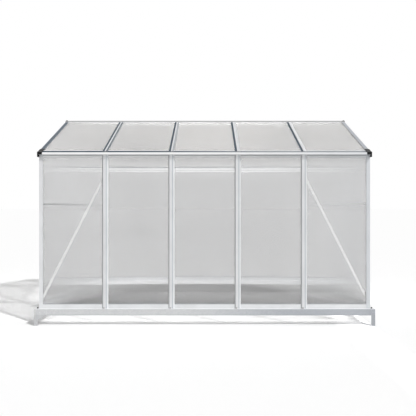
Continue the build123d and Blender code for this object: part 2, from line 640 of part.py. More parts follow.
def vent_lug(u):
    """Lug under a vent's foot rail, with the headed pin that the stay swings on."""
    run, offset = pivot_place()
    radius = STAY_WIDTH / 2
    lug = Pos(-run, offset) * Circle(radius)
    lug += rect(-run - radius, offset, -run, vent_bottom())
    pin_end = STAY_THICKNESS + 2 * SIDE_CLEARANCE
    half = LUG_THICKNESS / 2
    body = transom(lug, u - half, u + half)
    body += transom(Pos(-run, offset) * Circle(PIVOT_RADIUS), u + half, u + half + pin_end)
    return body + transom(Pos(-run, offset) * Circle(PIVOT_HEAD), u + half + pin_end,
                          u + half + pin_end + PIVOT_HEAD_HEIGHT)


def vent_sheet(u):
    """Sheet of one vent, held in the slots of its four rails."""
    half = vent_half_width() - VENT_RAIL + VENT_SLOT - EDGE_CLEARANCE
    low = VENT_RAIL - VENT_LENGTH - VENT_SLOT + EDGE_CLEARANCE
    high = -vent_head_run() - VENT_RAIL + VENT_SLOT - EDGE_CLEARANCE
    return Pos(0, 0, vent_mid()) * sheet(u - half, u + half, low, high)


def vent_stay(u):
    """Perforated stay, folded up the slope under the vent's sheet."""
    run, offset = pivot_place()
    start = u + LUG_THICKNESS / 2 + SIDE_CLEARANCE
    folded = Plane(origin=(start, -run, offset), x_dir=(0, 1, 0), z_dir=(1, 0, 0))
    bar = rect(0, -STAY_WIDTH / 2, STAY_LENGTH, STAY_WIDTH / 2)
    bar += Circle(STAY_WIDTH / 2) + Pos(STAY_LENGTH, 0) * Circle(STAY_WIDTH / 2)
    bar -= Circle(PIVOT_RADIUS + PIVOT_CLEARANCE)
    holes = int(STAY_LENGTH / STAY_PITCH)
    for i in range(1, holes + 1):
        bar -= Pos(i * STAY_LENGTH / holes, 0) * Circle(STAY_HOLE)
    return extrude(folded * bar, amount=STAY_THICKNESS, dir=(1, 0, 0))


def vent_sill(u):
    """Strip between two roof bars, over the head of the short sheet, under the vent's foot rail."""
    middle = -vent_sill_run()
    half = VENT_SILL_WIDTH / 2
    section = rect(middle - half, HALF_SLOT, middle + half, LIP_OUT)
    section += rect(middle - half, -LIP_OUT, middle + half, -HALF_SLOT)
    section += rect(middle - WALL / 2, -HALF_SLOT, middle + WALL / 2, HALF_SLOT)
    reach = LENGTH / SIDE_BAYS / 2 - BAR_INNER_WIDTH / 2 - STRIP_CLEARANCE
    return transom(section, u - reach, u + reach) + stay_peg(u)


def stay_peg(u):
    """Tab under a vent sill with the peg that a hole of the stay hooks over."""
    run, offset = vent_sill_run(), -LIP_OUT - PEG_DROP
    half = PEG_TAB / 2
    tab = rect(-run - half, offset, half - run, -LIP_OUT) + Pos(-run, offset) * Circle(half)
    start = u + LUG_THICKNESS / 2 + STAY_THICKNESS + 2 * PEG_GAP
    peg = transom(Pos(-run, offset) * Circle(PIVOT_RADIUS), u, start)
    return transom(tab, start, start + LUG_THICKNESS) + peg


# Sliding door, drawn on the right gable

DOOR_BACK = FLANGE_OUT + BAR_BEAD + DOOR_GAP
DOOR_FACE = DOOR_BACK + DOOR_THICKNESS
DOOR_MID = DOOR_BACK + DOOR_THICKNESS / 2
DOOR_BOTTOM = FOUNDATION_TOP + DOOR_LIFT
TRACK_BACK = FLANGE_OUT + BAR_BEAD
TRACK_LEVEL = DOOR_TOP + TRACK_CLEARANCE
ROLLER_MID = DOOR_FACE - HANGER_THICKNESS - SIDE_CLEARANCE - ROLLER_WIDTH / 2
ROLLER_LEVEL = TRACK_LEVEL + TRACK_LIP + ROLLER_GAP + ROLLER_TREAD
TRACK_START = -DOOR_WIDTH / 2 - TRACK_LEAD
TRACK_END = HALF_W - DOOR_STOP + TRACK_LEAD


def door_track():
    """Track over the doorway, whose upturned lip the rollers run on."""
    section = rect(TRACK_LEVEL, TRACK_BACK, TRACK_LEVEL + TRACK_HEIGHT, TRACK_BACK + WALL)
    section += rect(TRACK_LEVEL, TRACK_BACK, TRACK_LEVEL + WALL, ROLLER_MID + WALL / 2)
    section += rect(TRACK_LEVEL, ROLLER_MID - WALL / 2, TRACK_LEVEL + TRACK_LIP, ROLLER_MID + WALL / 2)
    return transom(section, TRACK_START, TRACK_END)


def track_stay_bar():
    """Upright that carries the track's far end on the rear rafter."""
    u = HALF_W - STAY_BAR_INSET
    foot = roof_level(u, RAFTER_UNDER)
    bar = rect(u - STAY_BAR_WIDTH / 2, foot, u + STAY_BAR_WIDTH / 2, TRACK_LEVEL + TRACK_HEIGHT)
    return plate(bar, FLANGE_OUT, TRACK_BACK)


def door_guide():
    """Floor channel on the foundation's ledge that keeps the door's fin in line."""
    low, high = DOOR_MID - GUIDE_WIDTH / 2, DOOR_MID + GUIDE_WIDTH / 2
    top = FOUNDATION_TOP + GUIDE_HEIGHT
    section = rect(FOUNDATION_TOP, low, FOUNDATION_TOP + WALL, high)
    section += rect(FOUNDATION_TOP, low, top, low + WALL) + rect(FOUNDATION_TOP, high - WALL, top, high)
    return transom(section, TRACK_START, TRACK_END)


def door_frame():
    """Two stiles and three rails with slots for the door's sheets; the bottom rail has the guide fin."""
    half = DOOR_WIDTH / 2
    slot0, slot1 = DOOR_MID - HALF_SLOT, DOOR_MID + HALF_SLOT
    faces = (DOOR_BACK, DOOR_FACE)
    stile_low = slotted_rect(-half, faces[0], DOOR_RAIL - half, faces[1], slot0, slot1, DOOR_SLOT, ("high",))
    stile_high = slotted_rect(half - DOOR_RAIL, faces[0], half, faces[1], slot0, slot1, DOOR_SLOT, ("low",))
    top = slotted_rect(DOOR_TOP - DOOR_RAIL, faces[0], DOOR_TOP, faces[1], slot0, slot1, DOOR_SLOT, ("low",))
    middle = slotted_rect(MID_RAIL_LEVEL - DOOR_RAIL / 2, faces[0], MID_RAIL_LEVEL + DOOR_RAIL / 2, faces[1],
                          slot0, slot1, DOOR_SLOT, ("low", "high"))
    bottom = slotted_rect(DOOR_BOTTOM, faces[0], DOOR_BOTTOM + DOOR_RAIL, faces[1],
                          slot0, slot1, DOOR_SLOT, ("high",))
    bottom += rect(FOUNDATION_TOP + WALL + GUIDE_FIN_GAP, DOOR_MID - GUIDE_FIN / 2,
                   DOOR_BOTTOM, DOOR_MID + GUIDE_FIN / 2)
    stiles = [upright(section, 0, DOOR_BOTTOM, DOOR_TOP) for section in (stile_low, stile_high)]
    inner = half - DOOR_RAIL
    return stiles + [transom(section, -inner, inner) for section in (top, middle, bottom)]


def door_sheets():
    """Upper and lower sheet of the door."""
    half = DOOR_WIDTH / 2 - DOOR_RAIL + DOOR_SLOT - EDGE_CLEARANCE
    lap = DOOR_SLOT - EDGE_CLEARANCE
    mid_low, mid_high = MID_RAIL_LEVEL - DOOR_RAIL / 2, MID_RAIL_LEVEL + DOOR_RAIL / 2
    lower = sheet(-half, half, DOOR_BOTTOM + DOOR_RAIL - lap, mid_low + lap)
    upper = sheet(-half, half, mid_high - lap, DOOR_TOP - DOOR_RAIL + lap)
    return [Pos(0, 0, DOOR_MID) * piece for piece in (lower, upper)]


def door_handle():
    """Moulded finger pull on the closing stile."""
    u = DOOR_RAIL / 2 - DOOR_WIDTH / 2
    low, high = u - HANDLE_WIDTH / 2, u + HANDLE_WIDTH / 2
    section = rect(low, DOOR_FACE, high, DOOR_FACE + HANDLE_BASE)
    section += rect(high - HANDLE_LIP, DOOR_FACE, high, DOOR_FACE + HANDLE_DEPTH)
    pull = upright(section, 0, HANDLE_LEVEL - HANDLE_LENGTH / 2, HANDLE_LEVEL + HANDLE_LENGTH / 2)
    return fillet(pull.edges().filter_by(Axis.Y).group_by(Axis.Z)[-1], HANDLE_LIP / 3)


def roller_places():
    """Places of the two rollers along the closed door."""
    place = DOOR_WIDTH / 2 - HANGER_INSET
    return -place, place


def door_hanger(u):
    """Plate on the door's top rail, with the headed axle of one roller."""
    half = HANGER_WIDTH / 2
    hanger = plate(rect(u - half, DOOR_TOP, u + half, ROLLER_LEVEL + HANGER_RISE),
                   DOOR_FACE - HANGER_THICKNESS, DOOR_FACE)
    hanger = fillet(hanger.edges().filter_by(Axis.Z).group_by(Axis.Y)[-1], HANGER_RISE / 2)
    axle_end = ROLLER_MID - ROLLER_WIDTH / 2 - SIDE_CLEARANCE
    axle = disc(PIVOT_RADIUS, axle_end, DOOR_FACE - HANGER_THICKNESS)
    axle += disc(PIVOT_HEAD, axle_end - PIVOT_HEAD_HEIGHT, axle_end)
    return hanger + Pos(u, ROLLER_LEVEL) * axle


def door_roller(u):
    """Grooved nylon roller on its axle."""
    half, groove = ROLLER_WIDTH / 2, ROLLER_GROOVE / 2
    roller = disc(ROLLER_RIM, -half, half)
    roller -= disc(2 * ROLLER_RIM, -groove, groove) - disc(ROLLER_TREAD, -half, half)
    roller -= disc(PIVOT_RADIUS + PIVOT_CLEARANCE, -ROLLER_WIDTH, ROLLER_WIDTH)
    return Pos(u, ROLLER_LEVEL, ROLLER_MID) * roller


def door_header():
    """Channel over the doorway, between the jambs, that holds the foot of the sheet above."""
    reach = WIDTH / GABLE_BAYS / 2 - BAR_INNER_WIDTH / 2 - STRIP_CLEARANCE
    return transom(channel_section(header_bottom(), HEADER_HEIGHT, HEADER_SLOT), -reach, reach)


def header_bottom():
    """Underside of the door header, behind the door's top edge."""
    return DOOR_TOP - HEADER_HEIGHT / 2


def mid_rails(bays):
    """Joint strips of a gable's sheets in the given bays."""
    short_of_bar = BAR_INNER_WIDTH / 2 + STRIP_CLEARANCE
    spans = bay_spans(HALF_W, GABLE_BAYS, CORNER_WIDTH + STRIP_CLEARANCE, short_of_bar)
    return [transom(strip_section(MID_RAIL_LEVEL), *spans[bay]) for bay in bays]


# Files

def placed(plane, solids):
    """Solids drawn on a sheet plane, in the house's frame."""
    return [plane * solid for solid in solids]


def save(node, *solids):
    """Write one node, as one solid or as a group of separate solids."""
    shape = solids[0] if len(solids) == 1 else Compound(children=list(solids))
    export_step(shape, f"parts/{node}.step")


def save_base():
    """Foundation, stakes, knobs and sills."""
    for side, rail in foundation_rails().items():
        save(f"foundation_{side}_rail", rail)
    save("corner_stakes", *corner_stakes())
    save("hold_down_knobs", *hold_down_knobs())
    for side, rail in sills().items():
        save(f"{side}_sill", rail)


def save_walls():
    """Posts, studs, braces, strips and sheets of the four walls."""
    for name, face, side in (("front_left", FRONT, -1), ("front_right", FRONT, 1),
                             ("rear_right", REAR, -1), ("rear_left", REAR, 1)):
        save(f"{name}_corner_post", corner_post(face, side))
    lines = bay_lines(HALF_L, SIDE_BAYS)
    for i, x in enumerate(lines, start=1):
        save(f"front_stud_{i}", FRONT * wall_stud(x))
        save(f"rear_stud_{i}", REAR * wall_stud(-x))
    save("left_gable_studs", *gable_studs(LEFT))
    save("door_jambs", *gable_studs(RIGHT))
    braces = [brace(side) for side in (-1, 1)]
    save("wall_braces", *placed(FRONT, braces), *placed(REAR, braces))
    save("gable_mid_rails", *placed(LEFT, mid_rails(range(GABLE_BAYS))),
         *placed(RIGHT, mid_rails((0, GABLE_BAYS - 1))))
    save("front_wall_sheets", *placed(FRONT, wall_sheets()))
    save("rear_wall_sheets", *placed(REAR, wall_sheets()))
    sill_slot = SILL_TOP - SILL_SLOT + FACE_CLEARANCE
    strip_gap = WALL / 2 + FACE_CLEARANCE
    two_sheets = [(sill_slot, MID_RAIL_LEVEL - strip_gap), (MID_RAIL_LEVEL + strip_gap, RIDGE_LEVEL)]
    over_door = [(header_bottom() + HEADER_HEIGHT - HEADER_SLOT + FACE_CLEARANCE, RIDGE_LEVEL)]
    save("left_gable_sheets", *gable_sheets(LEFT, [two_sheets] * GABLE_BAYS))
    save("right_gable_sheets", *gable_sheets(RIGHT, [two_sheets, over_door, two_sheets]))


def save_roof():
    """Gutters, ridge, rafters, roof bars, caps and roof sheets."""
    front_gutter = gutter()
    save("front_gutter", front_gutter)
    save("rear_gutter", mirror(front_gutter, about=Plane.XZ))
    save("eave_caps", *eave_caps())
    save("ridge_beam", ridge_beam())
    save("ridge_caps", *ridge_caps())
    for name, roof, side in (("front_left", FRONT_ROOF, -1), ("front_right", FRONT_ROOF, 1),
                             ("rear_right", REAR_ROOF, -1), ("rear_left", REAR_ROOF, 1)):
        save(f"{name}_gable_rafter", trimmed_rafter(roof, side))
    bars = [roof_bar(u) for u in bay_lines(HALF_L, SIDE_BAYS)]
    save("front_roof_bars", *placed(FRONT_ROOF, bars))
    save("rear_roof_bars", *placed(REAR_ROOF, bars))
    save("front_roof_sheets", *placed(FRONT_ROOF, roof_sheets(())))
    save("rear_roof_sheets", *placed(REAR_ROOF, roof_sheets(VENT_BAYS)))


def save_vents():
    """Both roof vents with their sills and stays."""
    bay = LENGTH / SIDE_BAYS
    places = [HALF_L - (index + 0.5) * bay for index in VENT_BAYS]
    save("vent_sills", *placed(REAR_ROOF, [vent_sill(u) for u in places]))
    for name, u in zip(("left", "right"), places):
        save(f"{name}_vent_frame", *placed(REAR_ROOF, vent_frame(u)))
        save(f"{name}_vent_sheet", REAR_ROOF * vent_sheet(u))
        save(f"{name}_vent_stay", REAR_ROOF * vent_stay(u))


def save_door():
    """Sliding door, its track, guide, header and rollers."""
    save("door_header", RIGHT * door_header())
    save("door_track", *placed(RIGHT, [door_track(), track_stay_bar()]))
    save("door_guide", RIGHT * door_guide())
    save("door_frame", *placed(RIGHT, door_frame()))
    save("door_sheets", *placed(RIGHT, door_sheets()))
    save("door_handle", RIGHT * door_handle())
    save("door_hangers", *placed(RIGHT, [door_hanger(u) for u in roller_places()]))
    for name, u in zip(("front", "rear"), roller_places()):
        save(f"{name}_door_roller", RIGHT * door_roller(u))


os.makedirs("parts", exist_ok=True)
save_base()
save_walls()
save_roof()
save_vents()
save_door()
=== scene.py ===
"""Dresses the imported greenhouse: finishes of its pieces, small fasteners and a white studio."""

from math import pi, radians, sqrt

import bmesh
import bpy
from bpy.props import FloatProperty, FloatVectorProperty, IntProperty, PointerProperty
from mathutils import Matrix, Vector


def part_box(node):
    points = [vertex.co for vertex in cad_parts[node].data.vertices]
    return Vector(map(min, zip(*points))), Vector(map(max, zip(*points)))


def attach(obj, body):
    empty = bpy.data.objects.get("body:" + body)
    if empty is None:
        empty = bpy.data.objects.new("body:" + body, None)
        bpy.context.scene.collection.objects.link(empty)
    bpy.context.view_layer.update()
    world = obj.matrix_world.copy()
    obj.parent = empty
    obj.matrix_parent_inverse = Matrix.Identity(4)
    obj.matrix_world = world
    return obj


bl_info = {
    "name": "Greenhouse Dressing",
    "version": (1, 0, 0),
    "blender": (4, 5, 0),
    "location": "3D View > Sidebar > Greenhouse",
    "description": "Finishes, fasteners and studio of a gable-roofed greenhouse",
    "category": "Object",
}

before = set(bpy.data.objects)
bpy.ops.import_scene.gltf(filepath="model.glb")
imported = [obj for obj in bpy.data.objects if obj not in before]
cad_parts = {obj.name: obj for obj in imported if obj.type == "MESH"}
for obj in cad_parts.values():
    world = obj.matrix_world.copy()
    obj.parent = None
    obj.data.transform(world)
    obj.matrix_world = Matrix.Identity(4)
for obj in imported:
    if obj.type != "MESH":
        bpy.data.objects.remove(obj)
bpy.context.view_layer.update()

# Groups of the frame's nodes

CORNERS = [f"{end}_{side}" for end in ("front", "rear") for side in ("left", "right")]
STUDS = [f"{wall}_stud_{number}" for wall in ("front", "rear") for number in range(1, 5)]
UPRIGHTS = [f"{corner}_corner_post" for corner in CORNERS]
UPRIGHTS += ["left_gable_studs", "door_jambs", "door_frame", "door_hangers"]
SILLS_X = ["front_sill", "rear_sill"]
SILLS_Y = ["left_sill", "right_sill"]
GIRTS_Y = ["door_header", "door_track", "door_guide"]
GUTTERS = ["front_gutter", "rear_gutter"]
RAFTERS = {wall: [f"{wall}_{side}_gable_rafter" for side in ("left", "right")] for wall in ("front", "rear")}
VENT_FRAMES = ["left_vent_frame", "right_vent_frame"]
VENT_SHEETS = ["left_vent_sheet", "right_vent_sheet"]
VENT_STAYS = ["left_vent_stay", "right_vent_stay"]
RAILS = [f"foundation_{wall}_rail" for wall in ("front", "rear", "left", "right")]
ROLLERS = ["front_door_roller", "rear_door_roller"]

# Places read from the frame

HALF_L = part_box("front_right_corner_post")[1].x
HALF_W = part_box("rear_left_corner_post")[1].y
RAIL_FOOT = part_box("foundation_front_rail")[0].z
SILL_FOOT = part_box("front_sill")[0].z
SILL_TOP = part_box("front_sill")[1].z
STUD_LINES = [sum(c.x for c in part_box(f"front_stud_{number}")) / 2 for number in range(1, 5)]
BAY = STUD_LINES[1] - STUD_LINES[0]
RIDGE_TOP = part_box("ridge_beam")[1].z
EAVE_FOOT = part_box("front_roof_sheets")[0]
EAVE_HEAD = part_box("front_roof_sheets")[1]
SLOPE = Vector((0, EAVE_HEAD.y - EAVE_FOOT.y, EAVE_HEAD.z - EAVE_FOOT.z))
PITCH = SLOPE.angle(Vector((0, 1, 0)))

# Sizes that the frame's boxes don't give

TROUGH_FOOT = 1.593             # underside of the gutters' troughs
TROUGH_TOP = 1.6143             # over the trough's rolled edge
BEAD = 0.006                    # radius of the bars' half-round bead
GABLE_FLANGE = 0.025            # half the width of a gable stud
BRACE_THICKNESS = 0.003
BRACE_FOOT = 0.0352             # nut at a brace's foot, from the corner post's outer face
BRACE_HEAD = 0.0142             # nut at a brace's head, from the stud's middle
BRACE_END = 0.0107              # nuts from the braces' lower and upper ends
STAKE_BOLTS = (0.05, 0.095)     # along a stake, from its corner
STAKE_SIDE_BOLT = 0.02          # round a stake's corner
HANGER_HALF = 0.02              # half the width of a door hanger
HANGER_SCREW = 0.012            # screws from a hanger's middle
HANGER_RISE = 0.008             # screws from a hanger's lower edge

# Limits of the painted shade, light and reflection on bars and rails, in metres

# painted sky reflection in a roof slot, and painted shade in the corner under the trough
ROOF_SLOT = (TROUGH_TOP + 0.0025, TROUGH_TOP + 0.0165)
EAVE_CORNER = (TROUGH_FOOT - 0.009, TROUGH_FOOT + 0.0005)
EAVE_DEPTH = 0.010              # eave's painted dark parts, inwards from the wall's outer face
GROOVE = (0.006, 0.015)         # painted shade in and beside a stud cover's groove, from the stud's middle
SEAL = 0.006                    # height of the dark seal line on a sill, with painted shade in its slot
CROWN = 0.011                   # height of the painted dark reflection on the ridge's crown
LOWER_EDGE_SHADE = 0.008                     # height of the painted shade along a foundation rail's lower edge

# Limits on the normals of faces with painted reflection, light and shade

UPWARD = 0.6
LEEWARD = -0.4
INWARD = -0.5                   # normal times place, along one axis

# Sizes of the finishes' patterns, in metres

DULL_PATCH = (0.11, 0.11, 0.16)
SPECKLE = (0.03, 0.03, 0.03)
CRYSTAL = (0.011, 0.011, 0.009)
STAIN = (0.25, 0.25, 0.05)
STREAK = {"X": (0.012, 4.0, 4.0), "Y": (4.0, 0.012, 4.0)}  # by the axis across the flutes
CLOUD = (0.45, 0.45, 0.45)
RUBBED_PATCH = (0.02, 0.02, 0.02)
TURNING_MARK = (0.0012, 0.0012, 0.0012)
DULL_SPOT = (0.012, 0.012, 0.012)
FLUTE_HALF = 0.42               # half the clear width of a flute, in pitches

# Heights of the finishes' relief, in metres

DRAW_RELIEF = 0.00008
CRYSTAL_RELIEF = 0.00002
GRAIN_RELIEF = 0.00006
MARK_RELIEF = 0.00003

# Where tones fade along the house or up the walls

# painted sky reflection on the roof's profiles, paler towards the right
SKY_REFLECTION_FADE = (-0.8, 0.95)
ZINC_FADE = (-0.4, 1.1)
EAVE_FADE = (-0.3, HALF_L)
POST_FADE = (0.0, HALF_L)
# painted light on the walls' sheets
WALL_FADE = (0.5, 1.4)
WALL_HEAD = (1.44, 1.54)        # levels
# painted light on the roof's middle
ROOF_MIDDLE = 0.1
ROOF_FADE = (0.75, 0.25)        # on both sides of ROOF_MIDDLE

# Edges of the painted shadows and painted light on the floor, from where each starts to where it is full

SHELTER_SIDE = (HALF_L + 0.45, HALF_L + 0.22)
SHELTER_FRONT = (-0.15, 0.2)
SHELTER_BACK = (HALF_W + 1.2, HALF_W + 0.7)
SHELTER_MIDDLE = -0.03
SHELTER_TAPER = 0.4             # sideways, for each metre backwards
BEHIND_RAIL = (-0.78, -0.68)
BEHIND_HOUSE = (HALF_W, HALF_W + 0.08)
RIGHT_END = (0.4, 1.0)
LEFT_END = (-0.85, -1.15)
STAKE_LEFT = (1.2, 1.42)
STAKE_RIGHT = (1.58, 1.54)
STAKE_BACK = (-0.35, -0.5)

# Strengths of the painted shadows and painted light on the floor

RAIL_SHADE = 0.14
STAKE_GLOW = 0.75
HOUSE_GLOW = 0.11               # behind the house
RIGHT_SHADE = 0.30
LEFT_SHADE = 0.12
BACK_GLOW = 0.12                # for each metre backwards
LEE_SHADE = 0.045               # for each metre to the left


class GreenhouseFinishes(bpy.types.PropertyGroup):
    """Colours and patterns of the surfaces."""
    aluminium: FloatVectorProperty(
        name="Aluminium", description="Mill-finish extrusions", subtype="COLOR", size=4, min=0, max=1,
        default=(0.76, 0.77, 0.785, 1))
    line_width: FloatProperty(
        name="Draw line width", description="Width of the lines along an extrusion", unit="LENGTH",
        default=0.002)
    line_length: FloatProperty(
        name="Draw line length", description="Length of the lines along an extrusion", unit="LENGTH",
        default=0.35)
    # This colour is also painted light on the right gable's strips and on the foundation's upper and inner
    # faces
    flat_bar: FloatVectorProperty(
        name="Bright bar", description="Braces, stays, ridge, gutters, right joint strips, pale steel faces",
        subtype="COLOR", size=4, min=0, max=1, default=(0.93, 0.935, 0.94, 1))
    # This colour is painted shade on the left gable's mid-rails, the studs' lee sides, the eaves' corners and
    # the foundation's lower edge, and the dark seal line on the sills
    seal_and_shade: FloatVectorProperty(
        name="Joint strip", description="Strips between the left gable's sheets, seals and shaded corners",
        subtype="COLOR", size=4, min=0, max=1, default=(0.30, 0.31, 0.32, 1))
    # Painted shade and dark sky reflection on the roof bars' flanks
    flank_shade: FloatVectorProperty(
        name="Bar flank", description="Dark flanks of the roof bars", subtype="COLOR", size=4, min=0, max=1,
        default=(0.03, 0.055, 0.08, 1))
    # Painted shade in and beside the studs' grooves, and duller faces at the right
    groove: FloatVectorProperty(
        name="Stud groove", description="Shaded groove of the studs' covers, and duller faces at the right",
        subtype="COLOR", size=4, min=0, max=1, default=(0.42, 0.47, 0.52, 1))
    # Painted dark reflection on the top of the ridge
    crown: FloatVectorProperty(
        name="Ridge crown", description="Top of the ridge", subtype="COLOR", size=4, min=0, max=1,
        default=(0.13, 0.135, 0.14, 1))
    # These two colours are a painted dark sky reflection on the upper faces of the roof's profiles
    sky_reflection_left: FloatVectorProperty(
        name="Slate, left", description="Upper faces of the roof's profiles at the left gable",
        subtype="COLOR", size=4, min=0, max=1, default=(0.0, 0.028, 0.06, 1))
    sky_reflection_right: FloatVectorProperty(
        name="Slate, right", description="Upper faces of the roof's profiles at the right gable",
        subtype="COLOR", size=4, min=0, max=1, default=(0.36, 0.38, 0.41, 1))
    steel: FloatVectorProperty(
        name="Galvanised steel", description="Foundation and stakes", subtype="COLOR", size=4, min=0, max=1,
        default=(0.66, 0.665, 0.67, 1))
    # This colour darkens crystals, and the foundation towards the right gable
    steel_dark: FloatVectorProperty(
        name="Weathered zinc", description="Dark crystals and the weathered end of the foundation",
        subtype="COLOR", size=4, min=0, max=1, default=(0.42, 0.44, 0.475, 1))
    wall_sheet: FloatVectorProperty(
        name="Wall sheet", description="Twin-wall sheets of the walls", subtype="COLOR", size=4, min=0, max=1,
        default=(0.335, 0.335, 0.338, 1))
    gable_sheet: FloatVectorProperty(
        name="Gable sheet", description="Twin-wall sheets of the gables and door",
        subtype="COLOR", size=4, min=0, max=1, default=(0.80, 0.80, 0.805, 1))
    roof_sheet: FloatVectorProperty(
        name="Roof sheet", description="Twin-wall sheets of the roof", subtype="COLOR", size=4, min=0, max=1,
        default=(0.335, 0.32, 0.305, 1))
    sheet_haze: FloatProperty(
        name="Sheet haze", description="Milky share of one skin of a sheet", subtype="FACTOR", min=0, max=1,
        default=0.17)
    thin_haze: FloatProperty(
        name="Thin haze", description="Milky share of one skin on the gables and the rear slope",
        subtype="FACTOR", min=0, max=1, default=0.11)
    sheet_light: FloatProperty(
        name="Sheet light", description="Share of the lamps' light that one skin lets through",
        subtype="FACTOR", min=0, max=1, default=0.81)
    flute_bulge: FloatProperty(
        name="Flute bulge", description="Slope of a flute's side, which smears what is behind it", min=0,
        default=0.36)
    gable_bulge: FloatProperty(
        name="Gable bulge", description="Slope of a flute's side on the gables and door", min=0,
        default=0.108)
    flute_pitch: FloatProperty(
        name="Flute pitch", description="From one rib of a twin-wall sheet to the next", unit="LENGTH",
        min=0.002, default=0.006)
    most_skins: IntProperty(
        name="Most skins", description="How many skins a ray from a lamp may pass through", min=1, default=32)
    plastic: FloatVectorProperty(
        name="Black plastic", description="End caps, knobs and the door's pull",
        subtype="COLOR", size=4, min=0, max=1, default=(0.005, 0.005, 0.0055, 1))
    nylon: FloatVectorProperty(
        name="Nylon", description="The door's rollers", subtype="COLOR", size=4, min=0, max=1,
        default=(0.74, 0.72, 0.66, 1))
    zinc: FloatVectorProperty(
        name="Zinc", description="Plated bolts and nuts", subtype="COLOR", size=4, min=0, max=1,
        default=(0.42, 0.42, 0.41, 1))


class GreenhouseFasteners(bpy.types.PropertyGroup):
    """Sizes and places of the bolts, nuts and screws."""
    across: FloatProperty(
        name="Across flats", description="Hexagon of the frame's bolts", unit="LENGTH", default=0.010)
    head: FloatProperty(
        name="Head height", description="Height of a bolt's head", unit="LENGTH", default=0.004)
    head_rounding: FloatProperty(
        name="Head rounding", description="Rounded upper edge of a head", unit="LENGTH", default=0.0006)
    washer: FloatProperty(
        name="Washer radius", description="Outer radius of a washer", unit="LENGTH", default=0.0065)
    washer_thickness: FloatProperty(
        name="Washer thickness", description="Thickness of a washer", unit="LENGTH", default=0.0012)
    washer_rounding: FloatProperty(
        name="Washer rounding", description="Rounded upper edge of a washer", unit="LENGTH", default=0.0003)
    thread: FloatProperty(
        name="Thread radius", description="Radius of a bolt's end in its nut", unit="LENGTH", default=0.0028)
    thread_length: FloatProperty(
        name="Thread length", description="How far a bolt's end stands out", unit="LENGTH", default=0.002)
    thread_rounding: FloatProperty(
        name="Thread rounding", description="Rounded edge of a bolt's end", unit="LENGTH", default=0.0004)
    screw: FloatProperty(
        name="Screw radius", description="Radius of a pan-head screw", unit="LENGTH", default=0.0042)
    screw_height: FloatProperty(
        name="Screw height", description="Height of a pan head", unit="LENGTH", default=0.0021)
    screw_rounding: FloatProperty(
        name="Screw rounding", description="Rounded upper edge of a pan head", unit="LENGTH", default=0.00147)
    stud_beside: FloatProperty(
        name="Beside a stud", description="From a stud's middle to its foot bolt", unit="LENGTH",
        default=0.010)
    gable_beside: FloatProperty(
        name="Beside a gable stud", description="From a gable stud's middle to its foot bolts",
        unit="LENGTH", default=0.0135)
    round_steps: IntProperty(
        name="Round steps", description="Segments of a round head or washer", min=8, default=16)


class GreenhouseStudio(bpy.types.PropertyGroup):
    """Camera, light and floor."""
    camera_place: FloatVectorProperty(
        name="Camera", description="Place of the level camera", subtype="TRANSLATION", unit="LENGTH",
        default=(0.032, -5.82, 1.096))
    lens: FloatProperty(name="Lens", description="Focal length", unit="CAMERA", default=45.0)
    sun: FloatProperty(name="Sun", description="Strength of the key light", min=0, default=2.3)
    sun_angle: FloatProperty(
        name="Sun size", description="Softness of the key light", subtype="ANGLE", default=radians(3))
    sun_from: FloatVectorProperty(
        name="Sun from", description="Direction towards the key light", subtype="DIRECTION",
        default=(0.51, -0.51, 0.69))
    brace_light: FloatProperty(
        name="Brace light", description="Light added on the braces alone", min=0, default=2.0)
    ambient: FloatProperty(name="Ambient", description="Light from all round", min=0, default=0.42)
    fill: FloatProperty(
        name="Fill", description="Brightness of the lamp inside the house", min=0, default=1.7)
    fill_size: FloatVectorProperty(
        name="Fill size", description="Width and height of the lamp inside the house", size=2, unit="LENGTH",
        default=(2 * HALF_L - 0.6, 1.2))
    fill_place: FloatVectorProperty(
        name="Fill place", description="Middle of the lamp inside the house", subtype="TRANSLATION",
        unit="LENGTH", default=(0.2, 0.4 - HALF_W, 1.0))
    fill_tilt: FloatProperty(
        name="Fill tilt", description="How far the lamp inside the house looks up", subtype="ANGLE",
        default=radians(30))
    ridge_fill: FloatProperty(
        name="Ridge fill", description="Brightness of the lamp under the ridge", min=0, default=3.5)
    ridge_fill_size: FloatVectorProperty(
        name="Ridge fill size", description="Width and height of the lamp under the ridge", size=2,
        unit="LENGTH", default=(2 * HALF_L - 0.3, 0.08))
    ridge_fill_place: FloatVectorProperty(
        name="Ridge fill place", description="Middle of the lamp under the ridge", subtype="TRANSLATION",
        unit="LENGTH", default=(0, -0.16, RIDGE_TOP - 0.13))
    ridge_fill_tilt: FloatProperty(
        name="Ridge fill tilt", description="How far the lamp under the ridge looks up", subtype="ANGLE",
        default=radians(15))
    floor_size: FloatProperty(
        name="Floor", description="Side of the floor", unit="LENGTH", default=1000.0)
    floor_tone: FloatProperty(
        name="Floor tone", description="Brightness of the floor in the picture", min=0, default=1.06)
    floor_bounce: FloatProperty(
        name="Floor bounce", description="Brightness of the floor in the light that it throws back", min=0,
        default=0.8)
    # Painted shadow on the floor inside the house
    painted_shadow_tone: FloatProperty(
        name="Sheltered floor", description="Brightness of the floor inside the house", min=0, default=0.26)


# Shaders

